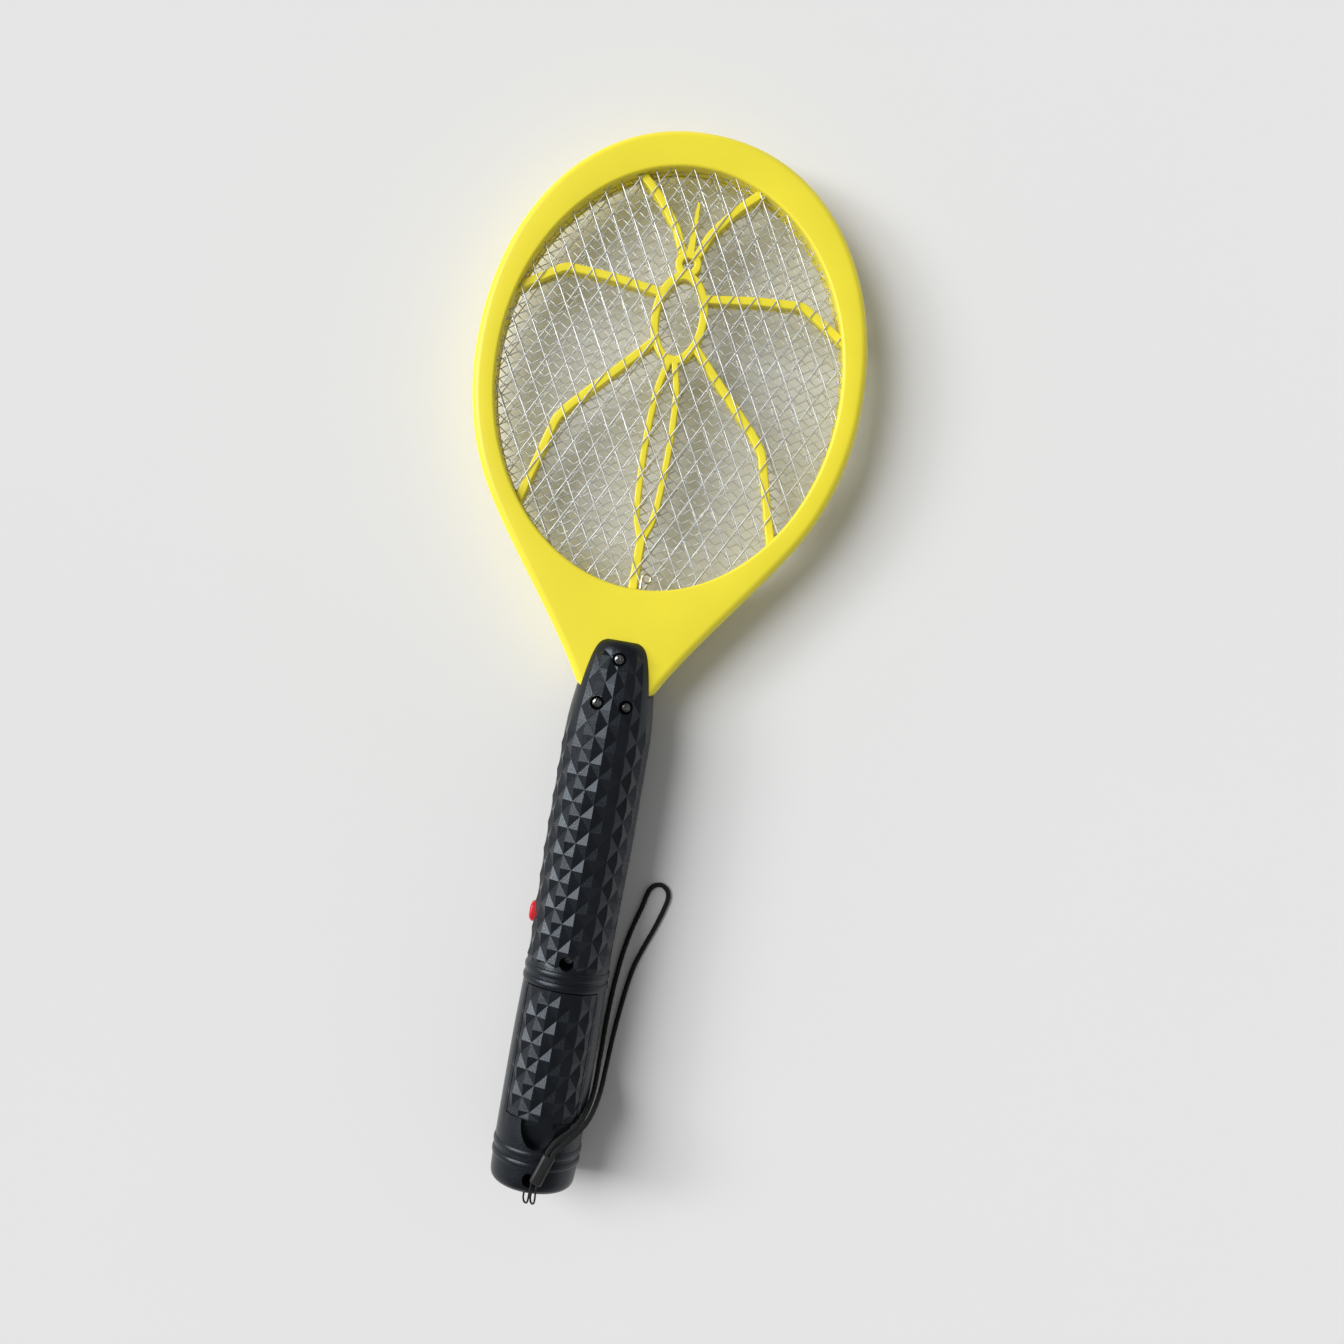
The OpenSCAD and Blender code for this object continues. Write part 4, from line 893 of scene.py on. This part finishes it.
def button_slot():
    """The room for the button, through the grip's left side."""
    loop = stadium(BUTTON_LEN + 2 * BUTTON_GAP, BUTTON_W + 2 * BUTTON_GAP)
    ends = (-GRIP_HW - 4, -GRIP_HW + 6)
    return build("slot", *skin([[(x, BUTTON_Y + u, v) for u, v in loop] for x in ends]))


def throat_room():
    """The room for half of the frames' throat and tang."""
    return prism("throat", OUTLINE, -1, HEAD_H)


def screw_bosses(foot):
    """Posts round the screws, from the tang at the throat and from foot lower down."""
    bosses = [post(x, y, BOSS_D, HEAD_H, TOP_Z) for x, y, seat in SCREWS[:3]]
    return bosses + [post(x, y, BOSS_D, foot, TOP_Z) for x, y, seat in SCREWS[3:]]


def make_front_shell():
    """The front half of the grip, with the bay, the notch and all its holes."""
    hollow = half_cavity("hollow", WALL)
    walls = block(-BAY_HW - BAY_WALL, BAY_HW + BAY_WALL, BAY_Y0 - BAY_WALL, BAY_Y1 + BAY_WALL, -1, TOP_Z)
    combine(walls, [block(-BAY_HW, BAY_HW, BAY_Y0, BAY_Y1, -2, TOP_Z + 1)])
    below_notch = block(-NOTCH_HW - 2, NOTCH_HW + 2, COVER_Y0 - NOTCH_LEN - 2, BAY_Y0, NOTCH_Z - 2, TOP_Z)
    combine(hollow, screw_bosses(-1) + [walls, below_notch])
    notch = [p for p in ellipse(NOTCH_HW, NOTCH_LEN, COVER_Y0, 96) if p[1] <= COVER_Y0 + 0.01]
    notch = sorted(notch, key=lambda p: p[0])
    notch = notch + [(NOTCH_HW, COVER_Y0 + 0.2), (-NOTCH_HW, COVER_Y0 + 0.2)]
    edge = COVER_HW + COVER_GAP
    cuts = [
        hollow,
        throat_room(),
        block(-edge, edge, COVER_Y0, COVER_Y1, LEDGE_Z, TOP_Z),
        block(-TAB_HW - 0.5, TAB_HW + 0.5, BAY_Y1 - 1, HINGE_Y + 5, TAB_Z - 2, TAB_Z + 2.4),
        prism("notch", notch, NOTCH_Z, TOP_Z),
        button_slot(),
    ]
    for x, y, seat in SCREWS:
        cuts += [post(x, y, RECESS_D, seat, TOP_Z), post(x, y, SCREW_HOLE_D, -1, TOP_Z)]
    # Slots for the battery leads, and holes for the string
    for x in (-LEAD_X, LEAD_X):
        end = BAY_Y1 + BAY_WALL + 0.5
        cuts.append(block(x - LEAD_HW, x + LEAD_HW, BAY_Y1 - 0.3, end, LEAD_Z0, LEAD_Z1))
    for x in (-HOLE_X, HOLE_X):
        circle = ellipse(HOLE_R, HOLE_R, HOLE_Z, 24, x)
        cuts.append(build("hole", *skin([[(u, y, v) for u, v in circle] for y in (-1, WALL + 0.2)])))
    shell = combine(half_grip("front_shell_moulding"), cuts)
    tray_hw, tray_z = BAY_HW + TRAY_WALL, BAY_FLOOR - TRAY_T
    tray = block(-tray_hw, tray_hw, BAY_Y0 - TRAY_WALL, BAY_Y1 + TRAY_WALL, tray_z, 0.5)
    combine(tray, [block(-BAY_HW, BAY_HW, BAY_Y0, BAY_Y1, BAY_FLOOR, 1)])
    combine(shell, [tray], "UNION")
    dress(shell, BLACK, ["front_shell"], sharp=9)


def make_rear_shell():
    """The rear half of the grip, made as a front half and turned over."""
    hollow = combine(half_cavity("hollow", WALL), screw_bosses(0))
    cuts = [hollow, throat_room(), button_slot()]
    cuts += [post(x, y, PILOT_D + 0.6, -1, SCREW_LEN - seat + 0.3) for x, y, seat in SCREWS]
    shell = combine(half_grip("rear_shell_moulding"), cuts)
    dress(mirrored(shell), BLACK, ["rear_shell"], sharp=9)


def make_cover():
    """The battery cover, cut from the same skin, with its tab and its thumb lip."""
    cover = half_grip("battery_cover_moulding")
    outline = block(-COVER_HW, COVER_HW, COVER_Y0 - 1, HINGE_Y + 0.5, LEDGE_Z + 0.3, TOP_Z)
    # What the cover may fill so that its free end clears the grip as it turns
    r = HINGE_Y - COVER_Y0 - COVER_GAP
    disc = [(HINGE_Y + r * u, HINGE_Z + r * v) for u, v in ellipse(1, 1, 0, 192)]
    swing = build("swing", *skin([[(x, y, z) for y, z in disc] for x in (-COVER_HW - 1, COVER_HW + 1)]))
    combine(cover, [outline, swing], "INTERSECT")
    combine(cover, [half_cavity("inside", COVER_T)])
    lip_hw = NOTCH_HW - 2
    parts = [
        block(-TAB_HW, TAB_HW, HINGE_Y - 5, HINGE_Y + TAB_OUT, TAB_Z, TAB_Z + TAB_T),
        block(-TAB_HW, TAB_HW, HINGE_Y - 5, HINGE_Y - 0.6, TAB_Z + 0.5, GRIP_HH - 1),
        block(-lip_hw, lip_hw, COVER_Y0 - 2.8, COVER_Y0 + 2.2, NOTCH_Z + 1, NOTCH_Z + 2.8),
        block(-lip_hw, lip_hw, COVER_Y0 + 0.6, COVER_Y0 + 2.2, NOTCH_Z + 1.5, GRIP_HH - 1.4),
    ]
    combine(cover, parts, "UNION")
    dress(cover, BLACK, ["battery_cover"], body="cover", sharp=9)


def make_button():
    """The push button, with a round face and a flange inside the wall."""
    face = -half_w(BUTTON_Y) - BUTTON_OUT
    root = -half_w(BUTTON_Y) + WALL + 0.9
    layers = [(root + 1.2, BUTTON_FLANGE - 0.2), (root + 1.0, BUTTON_FLANGE), (root, BUTTON_FLANGE)]
    layers += [(root, 0), (face + BUTTON_ROUND, 0)]
    for k in range(1, 7):
        t = math.radians(90 * k / 6)
        layers.append((face + BUTTON_ROUND * (1 - math.sin(t)), -BUTTON_ROUND * (1 - math.cos(t))))
    rings = []
    for x, grow in layers:
        loop = stadium(BUTTON_LEN + 2 * grow, BUTTON_W + 2 * grow)
        crown = 1 / 28 if x < face + BUTTON_ROUND + 0.01 else 0
        rings.append([(x + crown * u * u, BUTTON_Y + u, v) for u, v in loop])
    button = build("push_button_cap", *skin(rings))
    dress(button, RED, ["push_button"], body="button", sharp=35)


make_front_shell()
make_rear_shell()
make_cover()
make_button()


# CAD nodes that stay, with their finish

KEPT = {
    "net_terminals": BRASS, "high_voltage_leads": LEAD, "handle_screws": SCREW,
    "switch_plunger": WHITE, "switch_housing": DARK, "circuit_board": BOARD,
    "transformer_core": FERRITE, "transformer_winding": WINDING, "storage_capacitor": DIPPED,
    "transistor": DARK, "board_diodes": DARK, "board_resistors": RESISTOR,
    "contact_springs": ZINC, "contact_plates": ZINC, "battery_leads": LEAD,
    "aa_cell_left": cell_material("cell_jacket_left", "aa_cell_left", True),
    "aa_cell_right": cell_material("cell_jacket_right", "aa_cell_right", False),
}
for node, mat in KEPT.items():
    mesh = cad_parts[node].data
    mesh.materials.clear()
    mesh.materials.append(mat)


# Floor, background and light

FLOOR_HALF, FLOOR_GREY = 60.0, 0.86
SKY_HORIZON, SKY_OVERHEAD, SKY_BLEND = 0.80, 0.22, 0.45


def make_floor():
    mesh = bpy.data.meshes.new("floor")
    corners = [(x * FLOOR_HALF, y * FLOOR_HALF, 0) for x, y in ((-1, -1), (1, -1), (1, 1), (-1, 1))]
    mesh.from_pydata(corners, [], [(0, 1, 2, 3)])
    floor = bpy.data.objects.new("floor", mesh)
    bpy.context.collection.objects.link(floor)
    paper = material("floor", (FLOOR_GREY,) * 3, 0.9, specular=0.0, mottle=0.005, patch=3, bump=0.0)
    floor.data.materials.append(paper)


def make_world():
    """A studio sky: pale at the horizon, where it meets the floor, and dimmer overhead."""
    world = bpy.data.worlds.new("world")
    bpy.context.scene.world = world
    world.use_nodes = True
    nodes, links = world.node_tree.nodes, world.node_tree.links
    axes = nodes.new("ShaderNodeSeparateXYZ")
    links.new(nodes.new("ShaderNodeTexCoord").outputs["Generated"], axes.inputs["Vector"])
    height = nodes.new("ShaderNodeMapRange")
    height.interpolation_type = "SMOOTHSTEP"
    height.inputs["From Max"].default_value = SKY_BLEND
    height.inputs["To Min"].default_value = SKY_HORIZON
    height.inputs["To Max"].default_value = SKY_OVERHEAD
    links.new(axes.outputs["Z"], height.inputs["Value"])
    nodes["Background"].inputs["Color"].default_value = (1, 1, 1, 1)
    links.new(height.outputs["Result"], nodes["Background"].inputs["Strength"])


def make_sun(name, towards, spread_deg, strength):
    """A wide soft light from one direction, the same all over the floor."""
    data = bpy.data.lights.new(name, "SUN")
    data.angle = math.radians(spread_deg)
    data.energy = strength
    lamp = bpy.data.objects.new(name, data)
    lamp.rotation_euler = Vector(towards).to_track_quat("Z", "Y").to_euler()
    bpy.context.collection.objects.link(lamp)


make_floor()
make_world()
make_sun("key", towards=(-3.1, 0.75, 3.5), spread_deg=38, strength=2.3)
make_sun("low", towards=(-2.6, 0.15, 1.4), spread_deg=14, strength=0.8)

bpy.context.scene.view_settings.view_transform = "Standard"
